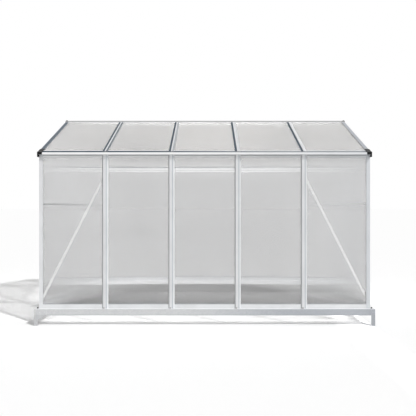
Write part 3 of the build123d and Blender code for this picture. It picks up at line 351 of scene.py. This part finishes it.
class Wire:
    """An output of a shader tree: arithmetic on it adds Math nodes, and node() adds any other node."""

    def __init__(self, tree, socket=None):
        self.tree = tree
        self.socket = socket

    def node(self, kind, settings=None, sockets=None, out=0):
        """Adds a node, sets it up, gives its sockets values or links, and returns one of its outputs."""
        made = self.tree.nodes.new(kind)
        for name, value in (settings or {}).items():
            setattr(made, name, value)
        for key, value in (sockets or {}).items():
            if isinstance(value, Wire):
                self.tree.links.new(value.socket, made.inputs[key])
            else:
                made.inputs[key].default_value = value
        return Wire(self.tree, made.outputs[out] if made.outputs else None)

    def math(self, operation, first, second=0.0):
        """Math node on one or two values."""
        return self.node("ShaderNodeMath", {"operation": operation}, {0: first, 1: second})

    def __add__(self, other):
        return self.math("ADD", self, other)

    def __radd__(self, other):
        return self.math("ADD", other, self)

    def __sub__(self, other):
        return self.math("SUBTRACT", self, other)

    def __rsub__(self, other):
        return self.math("SUBTRACT", other, self)

    def __mul__(self, other):
        return self.math("MULTIPLY", self, other)

    def __rmul__(self, other):
        return self.math("MULTIPLY", other, self)

    def __gt__(self, other):
        return self.math("GREATER_THAN", self, other)

    def __lt__(self, other):
        return self.math("LESS_THAN", self, other)

    def __abs__(self):
        return self.math("ABSOLUTE", self)

    def mix(self, factor, first, second):
        """Colour between two colours."""
        return self.node("ShaderNodeMix", {"data_type": "RGBA"}, {0: factor, 6: first, 7: second}, out=2)

    def ramp(self, value, low, high):
        """Smooth step of a value from 0 at low to 1 at high."""
        return self.node("ShaderNodeMapRange", {"interpolation_type": "SMOOTHSTEP"},
                         {0: value, 1: low, 2: high, 3: 0.0, 4: 1.0})

    def place(self):
        """Place on the piece, in the frame's metres."""
        return self.node("ShaderNodeTexCoord", out="Object")

    def axis(self, vector, name):
        """One coordinate of a vector."""
        return self.node("ShaderNodeSeparateXYZ", sockets={0: vector}, out=name)

    def patches(self, size, turn=(0, 0, 0)):
        """Place on the piece, counted in patches of a size along each axis, in metres."""
        return self.node("ShaderNodeMapping", {"vector_type": "TEXTURE"},
                         {"Vector": self.place(), "Rotation": turn, "Scale": size})

    def noise(self, size, turn=(0, 0, 0), detail=2.0):
        """Noise in patches of a size along each axis, in metres."""
        at = self.patches(size, turn)
        return self.node("ShaderNodeTexNoise", {"noise_dimensions": "3D"},
                         {"Vector": at, "Scale": 1.0, "Detail": detail, "Roughness": 0.5})

    def bump(self, height, distance):
        """Surface relief from a height between 0 and 1."""
        return self.node("ShaderNodeBump", sockets={"Strength": 1.0, "Distance": distance, "Height": height})


def new_finish(name):
    """An empty material and the wire that builds its tree."""
    material = bpy.data.materials.new(name)
    material.use_nodes = True
    material.node_tree.nodes.clear()
    return material, Wire(material.node_tree)


def close_finish(wire, shader):
    """Ends a tree in its output."""
    wire.node("ShaderNodeOutputMaterial", sockets={"Surface": shader})


def principled(wire, sockets):
    """The shader of most finishes."""
    return wire.node("ShaderNodeBsdfPrincipled", sockets=sockets)


def scaled(colour, factor):
    """A colour made darker or brighter."""
    return tuple(min(1.0, c * factor) for c in colour[:3]) + (1,)


# Masks

def facing(wire, axis):
    """One coordinate of the faces' normal."""
    return wire.axis(wire.node("ShaderNodeTexCoord", out="Normal"), axis)


def upward(wire):
    """Mask of the faces that look up."""
    return facing(wire, "Z") > UPWARD


def inward(wire, axis):
    """Mask of the faces that look into the house along an axis."""
    return facing(wire, axis) * wire.axis(wire.place(), axis) < INWARD


def between(value, low, high):
    """Mask of the values between two limits."""
    return (value > low) * (value < high)


def across_house(wire, low, high):
    """Smooth step along the house."""
    return wire.ramp(wire.axis(wire.place(), "X"), low, high)


def past_stud(wire):
    """Distance to the right of the nearest line of bars, in bays from -0.5 to 0.5."""
    return wire.math("FRACT", (wire.axis(wire.place(), "X") - STUD_LINES[0]) * (1 / BAY) + 0.5) - 0.5


def painted_light_roof(wire):
    """Mask of the roof's middle, where painted light makes its sheets paler."""
    return wire.ramp(abs(wire.axis(wire.place(), "X") - ROOF_MIDDLE), *ROOF_FADE) * 0.9


def painted_light_wall(wire):
    """Mask of the walls' heads and right end, where painted light makes their sheets paler."""
    head = wire.ramp(wire.axis(wire.place(), "Z"), *WALL_HEAD)
    return head + across_house(wire, *WALL_FADE) * 0.5


# Tones laid over the aluminium: a mask, its share and a colour each; most are painted shade, light and sky
# reflection

def sky_reflection(wire, looks):
    """Painted dark sky reflection on the roof's upper faces, paler towards the right gable."""
    return wire.mix(across_house(wire, *SKY_REFLECTION_FADE), tuple(looks.sky_reflection_left), tuple(looks.sky_reflection_right))


def rafter_tones(wire, looks):
    """Painted dark sky reflection on the upper faces."""
    return [(upward(wire), 0.88, sky_reflection(wire, looks))]


def bar_tones(wire, looks):
    """Painted shade and dark sky reflection on the flanks beside the half-round bead, paler on the sunny side
    towards the right gable.
    """
    past = past_stud(wire)
    beside = abs(past) > BEAD / BAY
    sunny = (past > 0) * across_house(wire, -HALF_L, STUD_LINES[-1])
    return [(upward(wire) * beside * (1 - sunny), 1.0, tuple(looks.flank_shade))]


def stud_tones(wire, looks):
    """Painted shade in and beside the groove and on the lee side of the cover of a long wall's stud."""
    outward = wire.math("SIGN", wire.axis(wire.place(), "Y")) * -1.0
    past = past_stud(wire) * outward * BAY
    lee = facing(wire, "X") * outward < LEEWARD
    return [(between(past, *GROOVE), 0.6, tuple(looks.groove)), (lee, 0.6, tuple(looks.seal_and_shade))]


def strip_tones(wire, looks):
    """Painted light on the right gable's strips."""
    return [(wire.axis(wire.place(), "X") > 0, 1.0, tuple(looks.flat_bar))]


def post_tones(wire, looks):
    """Duller faces towards the right gable."""
    return [(across_house(wire, *POST_FADE), 0.35, tuple(looks.groove))]


def sill_tones(wire, looks):
    """Dark seal along the slot that holds the sheets, with painted shade in the slot."""
    return [(wire.axis(wire.place(), "Z") > SILL_TOP - SEAL, 0.9, tuple(looks.seal_and_shade))]


def eave_tones(wire, looks):
    """Duller right end of the front gutter, painted sky reflection in the roof slots over the troughs,
    painted shade under them.
    """
    y = wire.axis(wire.place(), "Y")
    z = wire.axis(wire.place(), "Z")
    outer = abs(y) > HALF_W - EAVE_DEPTH
    return [(across_house(wire, *EAVE_FADE) * (y < 0), 0.3, tuple(looks.groove)),
            (between(z, *ROOF_SLOT) * outer, 1.0, sky_reflection(wire, looks)),
            (between(z, *EAVE_CORNER) * outer, 0.6, tuple(looks.seal_and_shade))]


def ridge_tones(wire, looks):
    """Painted dark reflection on the crown."""
    return [(wire.axis(wire.place(), "Z") > RIDGE_TOP - CROWN, 1.0, tuple(looks.crown))]


# Finishes

def aluminium(name, looks, size, turn=(0, 0, 0), base=None, tones=None, metal=0.3, gloss=0.5):
    """Mill-finish extrusion with draw lines along its length and dull patches, under its tones."""
    material, wire = new_finish(name)
    lines = wire.noise(size, turn, detail=3.0)
    patches = wire.noise(DULL_PATCH)
    dulling = wire.ramp(patches * 0.6 + lines * 0.4, 0.38, 0.68)
    clean = tuple(base or looks.aluminium)
    colour = wire.mix(dulling * 0.6, clean, scaled(clean, 0.86))
    for mask, share, tone in tones(wire, looks) if tones else ():
        colour = wire.mix(mask * share * (0.90 + lines * 0.15), colour, tone)
    close_finish(wire, principled(wire, {
        "Base Color": colour, "Roughness": 0.30 + lines * 0.14 + dulling * 0.06, "Metallic": metal,
        "Specular IOR Level": gloss, "Normal": wire.bump(lines, DRAW_RELIEF)}))
    return material


def galvanised(looks, name="galvanised_steel"):
    """Hot-dip zinc crystals, darker towards the right, with painted shade on the lower edge and painted light
    on upper and inner faces.
    """
    material, wire = new_finish(name)
    cells = wire.node("ShaderNodeTexVoronoi", {"feature": "F1"},
                      {"Vector": wire.patches(CRYSTAL), "Scale": 1.0}, out="Color")
    crystal = wire.axis(cells, "X")
    stain = wire.noise(STAIN)
    darker_right = across_house(wire, *ZINC_FADE)
    inner = wire.math("MAXIMUM", inward(wire, "X"), inward(wire, "Y"))
    pale = wire.math("MAXIMUM", upward(wire), inner)
    lower_edge_shade = wire.axis(wire.place(), "Z") < RAIL_FOOT + LOWER_EDGE_SHADE
    darkness = darker_right * 0.85 + crystal * 0.25 + stain * 0.15
    colour = wire.mix(darkness, tuple(looks.steel), tuple(looks.steel_dark))
    # Painted shade along the lower edge
    colour = wire.mix(lower_edge_shade * 0.25, colour, tuple(looks.seal_and_shade))
    # Painted light on the upper and inner faces
    colour = wire.mix(pale * 0.8, colour, tuple(looks.flat_bar))
    close_finish(wire, principled(wire, {
        "Base Color": colour, "Roughness": 0.36 + crystal * 0.10 + stain * 0.06, "Metallic": 0.25,
        "Normal": wire.bump(crystal, CRYSTAL_RELIEF)}))
    return material


def twin_wall(name, looks, colour, across, haziness, bulge, paler=None):
    """Twin-wall sheet: flutes that bend light as rods do, along the axis across, hazy skins, and painted
    light where paler asks for it.
    """
    material, wire = new_finish(name)
    flute = wire.math("FRACT", wire.axis(wire.place(), across) * (1 / looks.flute_pitch))
    outward = 1 - 2 * wire.node("ShaderNodeNewGeometry", out="Backfacing")
    lean = wire.node("ShaderNodeCombineXYZ", sockets={across: (flute - 0.5) * (2 * bulge) * outward})
    square = wire.node("ShaderNodeNewGeometry", out="Normal")
    leaning = wire.node("ShaderNodeVectorMath", {"operation": "ADD"}, {0: square, 1: lean})
    normal = wire.node("ShaderNodeVectorMath", {"operation": "NORMALIZE"}, {0: leaning})
    streaks = wire.noise(STREAK[across], detail=3.0)
    clouds = wire.noise(CLOUD)
    tone = wire.ramp(streaks * 0.55 + clouds * 0.45, 0.30, 0.70)
    rib = abs(flute - 0.5) > FLUTE_HALF
    clear = wire.node("ShaderNodeBsdfGlass", sockets={
        "Color": (0.975, 0.975, 0.975, 1), "Roughness": 0.03, "IOR": 1.49, "Normal": normal})
    milk = wire.mix(tone, tuple(colour), scaled(colour, 0.95))
    # Painted light: the sheets made paler where the mask is high
    if paler:
        milk = wire.mix(paler(wire) * 0.4, milk, scaled(colour, 2.25))
    haze = principled(wire, {"Base Color": milk, "Roughness": 0.35, "Specular IOR Level": 0.2})
    share = haziness * (0.92 + tone * 0.06 + rib * 0.5)
    skin = wire.node("ShaderNodeMixShader", sockets={0: share, 1: clear, 2: haze})
    dim = looks.sheet_light
    lamp = wire.node("ShaderNodeBsdfTransparent", sockets={"Color": (dim, dim, dim, 1)})
    from_lamp = wire.node("ShaderNodeLightPath", out="Is Shadow Ray")
    close_finish(wire, wire.node("ShaderNodeMixShader", sockets={0: from_lamp, 1: skin, 2: lamp}))
    return material


def moulded(name, colour, roughness, grain=0.0006):
    """Moulded plastic with a fine eroded grain and rubbed patches."""
    material, wire = new_finish(name)
    fine = wire.noise((grain, grain, grain))
    rubbed = wire.ramp(wire.noise(RUBBED_PATCH, detail=3.0), 0.45, 0.75)
    paler = tuple(min(1.0, c * 1.6 + 0.01) for c in colour[:3]) + (1,)
    close_finish(wire, principled(wire, {
        "Base Color": wire.mix(rubbed * 0.5, tuple(colour), paler),
        "Roughness": roughness + fine * 0.1 - rubbed * 0.08, "Specular IOR Level": 0.2,
        "Normal": wire.bump(fine, GRAIN_RELIEF)}))
    return material


def plated(looks):
    """Zinc plating with turning marks and dull patches, one finish shared by all the small fasteners except
    the stake bolts.
    """
    name = "plated_fasteners"
    if name in bpy.data.materials:
        return bpy.data.materials[name]
    material, wire = new_finish(name)
    marks = wire.noise(TURNING_MARK)
    dull = wire.ramp(wire.noise(DULL_SPOT), 0.40, 0.70)
    close_finish(wire, principled(wire, {
        "Base Color": wire.mix(dull, tuple(looks.zinc), scaled(looks.zinc, 0.55)), "Metallic": 0.75,
        "Roughness": 0.30 + marks * 0.2, "Normal": wire.bump(marks, MARK_RELIEF)}))
    return material


def paint(names, material):
    """Gives a finish to nodes of the frame."""
    for name in names:
        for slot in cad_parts[name].material_slots:
            slot.material = material


# Fasteners

def aimed(place, axis):
    """Matrix that stands a shape on a place, with its own Z along an axis."""
    return Matrix.Translation(place) @ Vector(axis).to_track_quat("Z", "Y").to_matrix().to_4x4()


def rounded_drum(mesh, matrix, radius, foot, height, steps, rounding):
    """Drum with a rounded upper rim."""
    made = bmesh.ops.create_cone(
        mesh, cap_ends=True, segments=steps, radius1=radius, radius2=radius, depth=height,
        matrix=matrix @ Matrix.Translation((0, 0, foot + height / 2)))
    top = matrix @ Vector((0, 0, foot + height))
    up = matrix.to_3x3() @ Vector((0, 0, 1))
    edges = dict.fromkeys(edge for vertex in made["verts"] for edge in vertex.link_edges)
    rim = [edge for edge in edges if all(abs((end.co - top).dot(up)) < 1e-6 for end in edge.verts)]
    bmesh.ops.bevel(mesh, geom=rim, offset=rounding, affect="EDGES", segments=2, profile=0.5, material=-1)


def add_bolt(mesh, sizes, place, axis):
    """Hexagon on a washer: a bolt's head, or a nut."""
    matrix = aimed(place, axis)
    rounded_drum(mesh, matrix, sizes.washer, 0, sizes.washer_thickness, sizes.round_steps,
                 sizes.washer_rounding)
    rounded_drum(mesh, matrix, sizes.across / sqrt(3), sizes.washer_thickness, sizes.head, 6,
                 sizes.head_rounding)


def add_nut(mesh, sizes, place, axis):
    """Hexagon nut on a washer, with the bolt's end standing out of it."""
    add_bolt(mesh, sizes, place, axis)
    rounded_drum(mesh, aimed(place, axis), sizes.thread, sizes.washer_thickness + sizes.head,
                 sizes.thread_length, sizes.round_steps, sizes.thread_rounding)


def add_screw(mesh, sizes, place, axis):
    """Pan-head screw."""
    rounded_drum(mesh, aimed(place, axis), sizes.screw, 0, sizes.screw_height, sizes.round_steps,
                 sizes.screw_rounding)


def make_piece(name, mesh, material, body):
    """Turns a finished bmesh into a piece of the object that rides on a body."""
    bmesh.ops.recalc_face_normals(mesh, faces=mesh.faces)
    data = bpy.data.meshes.new(name)
    mesh.to_mesh(data)
    mesh.free()
    data.materials.append(material)
    piece = bpy.data.objects.new(name, data)
    bpy.context.scene.collection.objects.link(piece)
    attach(piece, body)


# Operators

class GREENHOUSE_OT_aluminium(bpy.types.Operator):
    """Finish the bars, sills, gutters, ridge, vent frames and door frame"""
    bl_idname = "greenhouse.aluminium"
    bl_label = "Aluminium"

    def execute(self, context):
        looks = context.scene.greenhouse_finishes
        width, length = looks.line_width, looks.line_length
        upright, along_x, along_y = (width, width, length), (length, width, width), (width, length, width)
        paint(STUDS, aluminium("aluminium_studs", looks, upright, tones=stud_tones))
        paint(UPRIGHTS, aluminium("aluminium_upright", looks, upright, tones=post_tones))
        paint(SILLS_X, aluminium("aluminium_sills_x", looks, along_x, tones=sill_tones))
        paint(SILLS_Y, aluminium("aluminium_sills_y", looks, along_y, tones=sill_tones))
        paint(["vent_sills"], aluminium("aluminium_along_x", looks, along_x))
        paint(GIRTS_Y, aluminium("aluminium_along_y", looks, along_y))
        # The gable mid-rails: painted shade at the left gable, painted light at the right
        paint(["gable_mid_rails"],
              aluminium("aluminium_joint_strip", looks, along_y, base=looks.seal_and_shade, tones=strip_tones))
        paint(VENT_STAYS + ["wall_braces"],
              aluminium("aluminium_flat_bar", looks, SPECKLE, base=looks.flat_bar, metal=0.1))
        paint(GUTTERS,
              aluminium("aluminium_gutter", looks, along_x, base=looks.flat_bar, tones=eave_tones, metal=0.15,
                        gloss=0.05))
        paint(["ridge_beam"],
              aluminium("aluminium_ridge", looks, along_x, base=looks.flat_bar, tones=ridge_tones, metal=0.05,
                        gloss=0.05))
        for wall, turn in (("front", (PITCH, 0, 0)), ("rear", (-PITCH, 0, 0))):
            paint([f"{wall}_roof_bars"],
                  aluminium(f"aluminium_{wall}_bars", looks, along_y, turn, tones=bar_tones, gloss=0.05))
            paint(RAFTERS[wall],
                  aluminium(f"aluminium_{wall}_rafters", looks, along_y, turn, tones=rafter_tones, metal=0.1,
                            gloss=0.05))
        paint(VENT_FRAMES, aluminium("aluminium_vents", looks, along_y, (-PITCH, 0, 0)))
        return {"FINISHED"}


class GREENHOUSE_OT_steel(bpy.types.Operator):
    """Finish the foundation rails and stakes"""
    bl_idname = "greenhouse.steel"
    bl_label = "Galvanised steel"

    def execute(self, context):
        paint(RAILS + ["corner_stakes"], galvanised(context.scene.greenhouse_finishes))
        return {"FINISHED"}


class GREENHOUSE_OT_sheets(bpy.types.Operator):
    """Finish the twin-wall sheets"""
    bl_idname = "greenhouse.sheets"
    bl_label = "Twin-wall sheets"

    def execute(self, context):
        looks = context.scene.greenhouse_finishes
        milky, clearer, bulge = looks.sheet_haze, looks.thin_haze, looks.flute_bulge
        paint(["front_wall_sheets", "rear_wall_sheets"],
              twin_wall("sheet_long_walls", looks, looks.wall_sheet, "X", milky, bulge, painted_light_wall))
        paint(["left_gable_sheets", "right_gable_sheets", "door_sheets"],
              twin_wall("sheet_gables", looks, looks.gable_sheet, "Y", clearer, looks.gable_bulge))
        paint(["front_roof_sheets"],
              twin_wall("sheet_front_roof", looks, looks.roof_sheet, "X", milky, bulge, painted_light_roof))
        paint(["rear_roof_sheets"] + VENT_SHEETS,
              twin_wall("sheet_rear_roof", looks, looks.roof_sheet, "X", clearer, bulge))
        context.scene.cycles.transparent_max_bounces = looks.most_skins
        return {"FINISHED"}


class GREENHOUSE_OT_plastic(bpy.types.Operator):
    """Finish the caps, knobs, door pull and rollers"""
    bl_idname = "greenhouse.plastic"
    bl_label = "Plastic fittings"

    def execute(self, context):
        looks = context.scene.greenhouse_finishes
        paint(["eave_caps", "ridge_caps", "hold_down_knobs", "door_handle"],
              moulded("black_plastic", looks.plastic, roughness=0.42))
        paint(ROLLERS, moulded("nylon", looks.nylon, roughness=0.36, grain=0.001))
        return {"FINISHED"}


class GREENHOUSE_OT_stud_bolts(bpy.types.Operator):
    """Add the bolts at the feet of the long walls' studs"""
    bl_idname = "greenhouse.stud_bolts"
    bl_label = "Stud bolts"

    def execute(self, context):
        sizes = context.scene.greenhouse_fasteners
        finish = plated(context.scene.greenhouse_finishes)
        mesh = bmesh.new()
        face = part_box("rear_stud_1")[1].y
        for side in (-1, 1):
            for line in STUD_LINES:
                place = (line + side * sizes.stud_beside, side * face, SILL_FOOT + sizes.washer)
                add_bolt(mesh, sizes, place, (0, side, 0))
        make_piece("stud_bolts", mesh, finish, "frame")
        return {"FINISHED"}


class GREENHOUSE_OT_gable_bolts(bpy.types.Operator):
    """Add the bolts at the feet of the left gable's studs"""
    bl_idname = "greenhouse.gable_bolts"
    bl_label = "Gable bolts"

    def execute(self, context):
        sizes = context.scene.greenhouse_fasteners
        finish = plated(context.scene.greenhouse_finishes)
        mesh = bmesh.new()
        low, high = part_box("left_gable_studs")
        for line in (low.y + GABLE_FLANGE, high.y - GABLE_FLANGE):
            for beside in (-sizes.gable_beside, sizes.gable_beside):
                add_bolt(mesh, sizes, (-HALF_L, line + beside, SILL_FOOT + sizes.washer), (-1, 0, 0))
        make_piece("gable_bolts", mesh, finish, "frame")
        return {"FINISHED"}


class GREENHOUSE_OT_stake_bolts(bpy.types.Operator):
    """Add the bolts that hold the stakes to the foundation"""
    bl_idname = "greenhouse.stake_bolts"
    bl_label = "Stake bolts"

    def execute(self, context):
        sizes = context.scene.greenhouse_fasteners
        finish = galvanised(context.scene.greenhouse_finishes, "galvanised_bolts")
        mesh = bmesh.new()
        low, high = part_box("corner_stakes")
        level = (RAIL_FOOT + SILL_FOOT) / 2
        bolts = [(Vector((along, 0, 0)), Vector((0, -1, 0))) for along in STAKE_BOLTS]
        bolts.append((Vector((0, STAKE_SIDE_BOLT, 0)), Vector((-1, 0, 0))))
        corners = ((low.x, low.y), (high.x, low.y), (high.x, high.y), (low.x, high.y))
        for quarter, (x, y) in enumerate(corners):
            turn = Matrix.Rotation(quarter * pi / 2, 3, "Z")
            for along, axis in bolts:
                add_bolt(mesh, sizes, Vector((x, y, level)) + turn @ along, turn @ axis)
        make_piece("stake_bolts", mesh, finish, "frame")
        return {"FINISHED"}


class GREENHOUSE_OT_brace_nuts(bpy.types.Operator):
    """Add the nuts at the ends of the braces, inside the house"""
    bl_idname = "greenhouse.brace_nuts"
    bl_label = "Brace nuts"

    def execute(self, context):
        sizes = context.scene.greenhouse_fasteners
        finish = plated(context.scene.greenhouse_finishes)
        mesh = bmesh.new()
        low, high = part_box("wall_braces")
        face = high.y - BRACE_THICKNESS
        foot = (HALF_L - BRACE_FOOT, low.z + BRACE_END)
        head = (STUD_LINES[-1] + BRACE_HEAD, high.z - BRACE_END)
        for side_x in (-1, 1):
            for side_y in (-1, 1):
                for x, z in (foot, head):
                    add_nut(mesh, sizes, (side_x * x, side_y * face, z), (0, -side_y, 0))
        make_piece("brace_nuts", mesh, finish, "frame")
        return {"FINISHED"}


class GREENHOUSE_OT_door_screws(bpy.types.Operator):
    """Add the screws of the door's hangers"""
    bl_idname = "greenhouse.door_screws"
    bl_label = "Door screws"

    def execute(self, context):
        sizes = context.scene.greenhouse_fasteners
        finish = plated(context.scene.greenhouse_finishes)
        mesh = bmesh.new()
        low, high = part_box("door_hangers")
        for middle in (low.y + HANGER_HALF, high.y - HANGER_HALF):
            for beside in (-HANGER_SCREW, HANGER_SCREW):
                add_screw(mesh, sizes, (high.x, middle + beside, low.z + HANGER_RISE), (1, 0, 0))
        make_piece("door_screws", mesh, finish, "door")
        return {"FINISHED"}


class GREENHOUSE_OT_stage(bpy.types.Operator):
    """Set up the white studio: floor, ambient light, lamps and camera"""
    bl_idname = "greenhouse.stage"
    bl_label = "Studio"

    def execute(self, context):
        studio = context.scene.greenhouse_studio
        context.scene.view_settings.view_transform = "Standard"
        self.add_floor(context, studio)
        self.add_sky(context, studio)
        self.add_sun(context, studio, "key_light", studio.sun)
        braces = bpy.data.collections.new("brace_light_only")
        braces.objects.link(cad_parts["wall_braces"])
        glint = self.add_sun(context, studio, "brace_light", studio.brace_light)
        glint.light_linking.receiver_collection = braces
        self.add_fill(context, "wall_fill", studio.fill, studio.fill_size,
                      studio.fill_place, studio.fill_tilt)
        self.add_fill(context, "ridge_fill", studio.ridge_fill, studio.ridge_fill_size,
                      studio.ridge_fill_place, studio.ridge_fill_tilt)
        self.add_camera(context, studio)
        return {"FINISHED"}

    def add_camera(self, context, studio):
        """Level camera that looks along Y."""
        camera = bpy.data.cameras.new("camera")
        camera.lens = studio.lens
        holder = bpy.data.objects.new("camera", camera)
        holder.location = studio.camera_place
        holder.rotation_euler = (pi / 2, 0, 0)
        context.scene.collection.objects.link(holder)
        context.scene.camera = holder

    def add_sun(self, context, studio, name, strength):
        """Lamp from the key light's direction."""
        light = bpy.data.lights.new(name, "SUN")
        light.energy = strength
        light.angle = studio.sun_angle
        lamp = bpy.data.objects.new(name, light)
        lamp.rotation_euler = Vector(studio.sun_from).to_track_quat("Z", "Y").to_euler()
        context.scene.collection.objects.link(lamp)
        return lamp

    def add_fill(self, context, name, brightness, size, place, tilt):
        """Soft lamp inside the house that only lights: no camera, reflection or glass shows it."""
        light = bpy.data.lights.new(name, "AREA")
        light.shape = "RECTANGLE"
        light.size, light.size_y = size
        light.energy = brightness * pi * light.size * light.size_y
        lamp = bpy.data.objects.new(name, light)
        lamp.location = place
        lamp.rotation_euler = (pi / 2 + tilt, 0, 0)
        lamp.visible_camera = False
        lamp.visible_glossy = False
        lamp.visible_transmission = False
        context.scene.collection.objects.link(lamp)

    def seen(self, wire):
        """1 for rays that show the background: straight, in a reflection or through glass."""
        path = ("Is Camera Ray", "Is Glossy Ray", "Is Transmission Ray")
        first, second, third = (wire.node("ShaderNodeLightPath", out=name) for name in path)
        return wire.math("MINIMUM", first + second + third, 1.0)

    def painted_tone(self, wire, studio):
        """Brightness of the floor: painted shadow in and behind the house and behind its front rail, painted
        light by a stake.
        """
        across = wire.axis(wire.place(), "X")
        back = wire.axis(wire.place(), "Y")
        aside = abs(across - SHELTER_MIDDLE) + back * SHELTER_TAPER
        deep = wire.ramp(back, *SHELTER_FRONT)
        painted_shadow = wire.ramp(aside, *SHELTER_SIDE) * deep * wire.ramp(back, *SHELTER_BACK)
        behind_rail = wire.ramp(back, *BEHIND_RAIL) * (1 - deep) * (abs(across) < HALF_L)
        beside_stake = wire.ramp(across, *STAKE_LEFT) * wire.ramp(across, *STAKE_RIGHT)
        by_stake = beside_stake * wire.ramp(back, *STAKE_BACK)
        open_tone = studio.floor_tone - behind_rail * RAIL_SHADE + by_stake * STAKE_GLOW
        ends = wire.ramp(across, *RIGHT_END) * RIGHT_SHADE + wire.ramp(across, *LEFT_END) * LEFT_SHADE
        behind = wire.ramp(back, *BEHIND_HOUSE) * (HOUSE_GLOW - ends)
        lee = wire.math("MINIMUM", across, 0.0) * LEE_SHADE
        shade = studio.painted_shadow_tone + back * BACK_GLOW + lee + behind
        return open_tone - painted_shadow * (studio.floor_tone - shade)

    def add_floor(self, context, studio):
        """White floor that keeps the house's shadow, under painted shadows and painted light."""
        material, wire = new_finish("studio_floor")
        bounce = studio.floor_bounce
        shown = bounce + self.seen(wire) * (self.painted_tone(wire, studio) - bounce)
        grey = wire.node("ShaderNodeCombineXYZ", sockets={0: shown, 1: shown, 2: shown})
        close_finish(wire, principled(wire, {
            "Base Color": grey, "Roughness": 1.0, "Specular IOR Level": 0.0}))
        mesh = bmesh.new()
        bmesh.ops.create_grid(mesh, x_segments=1, y_segments=1, size=studio.floor_size / 2)
        data = bpy.data.meshes.new("studio_floor")
        mesh.to_mesh(data)
        mesh.free()
        data.materials.append(material)
        floor = bpy.data.objects.new("studio_floor", data)
        context.scene.collection.objects.link(floor)

    def add_sky(self, context, studio):
        """White background, and softer light from all round."""
        world = bpy.data.worlds.new("studio_sky")
        world.use_nodes = True
        world.node_tree.nodes.clear()
        wire = Wire(world.node_tree)
        strength = studio.ambient + self.seen(wire) * (1 - studio.ambient)
        sky = wire.node("ShaderNodeBackground", sockets={"Color": (1, 1, 1, 1), "Strength": strength})
        wire.node("ShaderNodeOutputWorld", sockets={"Surface": sky})
        context.scene.world = world


class GREENHOUSE_PT_panel(bpy.types.Panel):
    """Sidebar panel with the dressing's steps and settings"""
    bl_idname = "GREENHOUSE_PT_panel"
    bl_label = "Greenhouse"
    bl_space_type = "VIEW_3D"
    bl_region_type = "UI"
    bl_category = "Greenhouse"

    def draw(self, context):
        for group in (context.scene.greenhouse_finishes, context.scene.greenhouse_fasteners,
                      context.scene.greenhouse_studio):
            box = self.layout.box()
            for name in group.__annotations__:
                box.prop(group, name)
        for step in STEPS:
            self.layout.operator(step.bl_idname)


STEPS = (
    GREENHOUSE_OT_aluminium,
    GREENHOUSE_OT_steel,
    GREENHOUSE_OT_sheets,
    GREENHOUSE_OT_plastic,
    GREENHOUSE_OT_stud_bolts,
    GREENHOUSE_OT_gable_bolts,
    GREENHOUSE_OT_stake_bolts,
    GREENHOUSE_OT_brace_nuts,
    GREENHOUSE_OT_door_screws,
    GREENHOUSE_OT_stage,
)
GROUPS = {
    "greenhouse_finishes": GreenhouseFinishes,
    "greenhouse_fasteners": GreenhouseFasteners,
    "greenhouse_studio": GreenhouseStudio,
}


def register():
    for item in (*GROUPS.values(), *STEPS, GREENHOUSE_PT_panel):
        bpy.utils.register_class(item)
    for name, group in GROUPS.items():
        setattr(bpy.types.Scene, name, PointerProperty(type=group))


def unregister():
    for name in GROUPS:
        delattr(bpy.types.Scene, name)
    for item in (GREENHOUSE_PT_panel, *reversed(STEPS), *GROUPS.values()):
        bpy.utils.unregister_class(item)


def main():
    register()
    bpy.ops.greenhouse.aluminium()
    bpy.ops.greenhouse.steel()
    bpy.ops.greenhouse.sheets()
    bpy.ops.greenhouse.plastic()
    bpy.ops.greenhouse.stud_bolts()
    bpy.ops.greenhouse.gable_bolts()
    bpy.ops.greenhouse.stake_bolts()
    bpy.ops.greenhouse.brace_nuts()
    bpy.ops.greenhouse.door_screws()
    bpy.ops.greenhouse.stage()


if __name__ == "__main__":
    main()
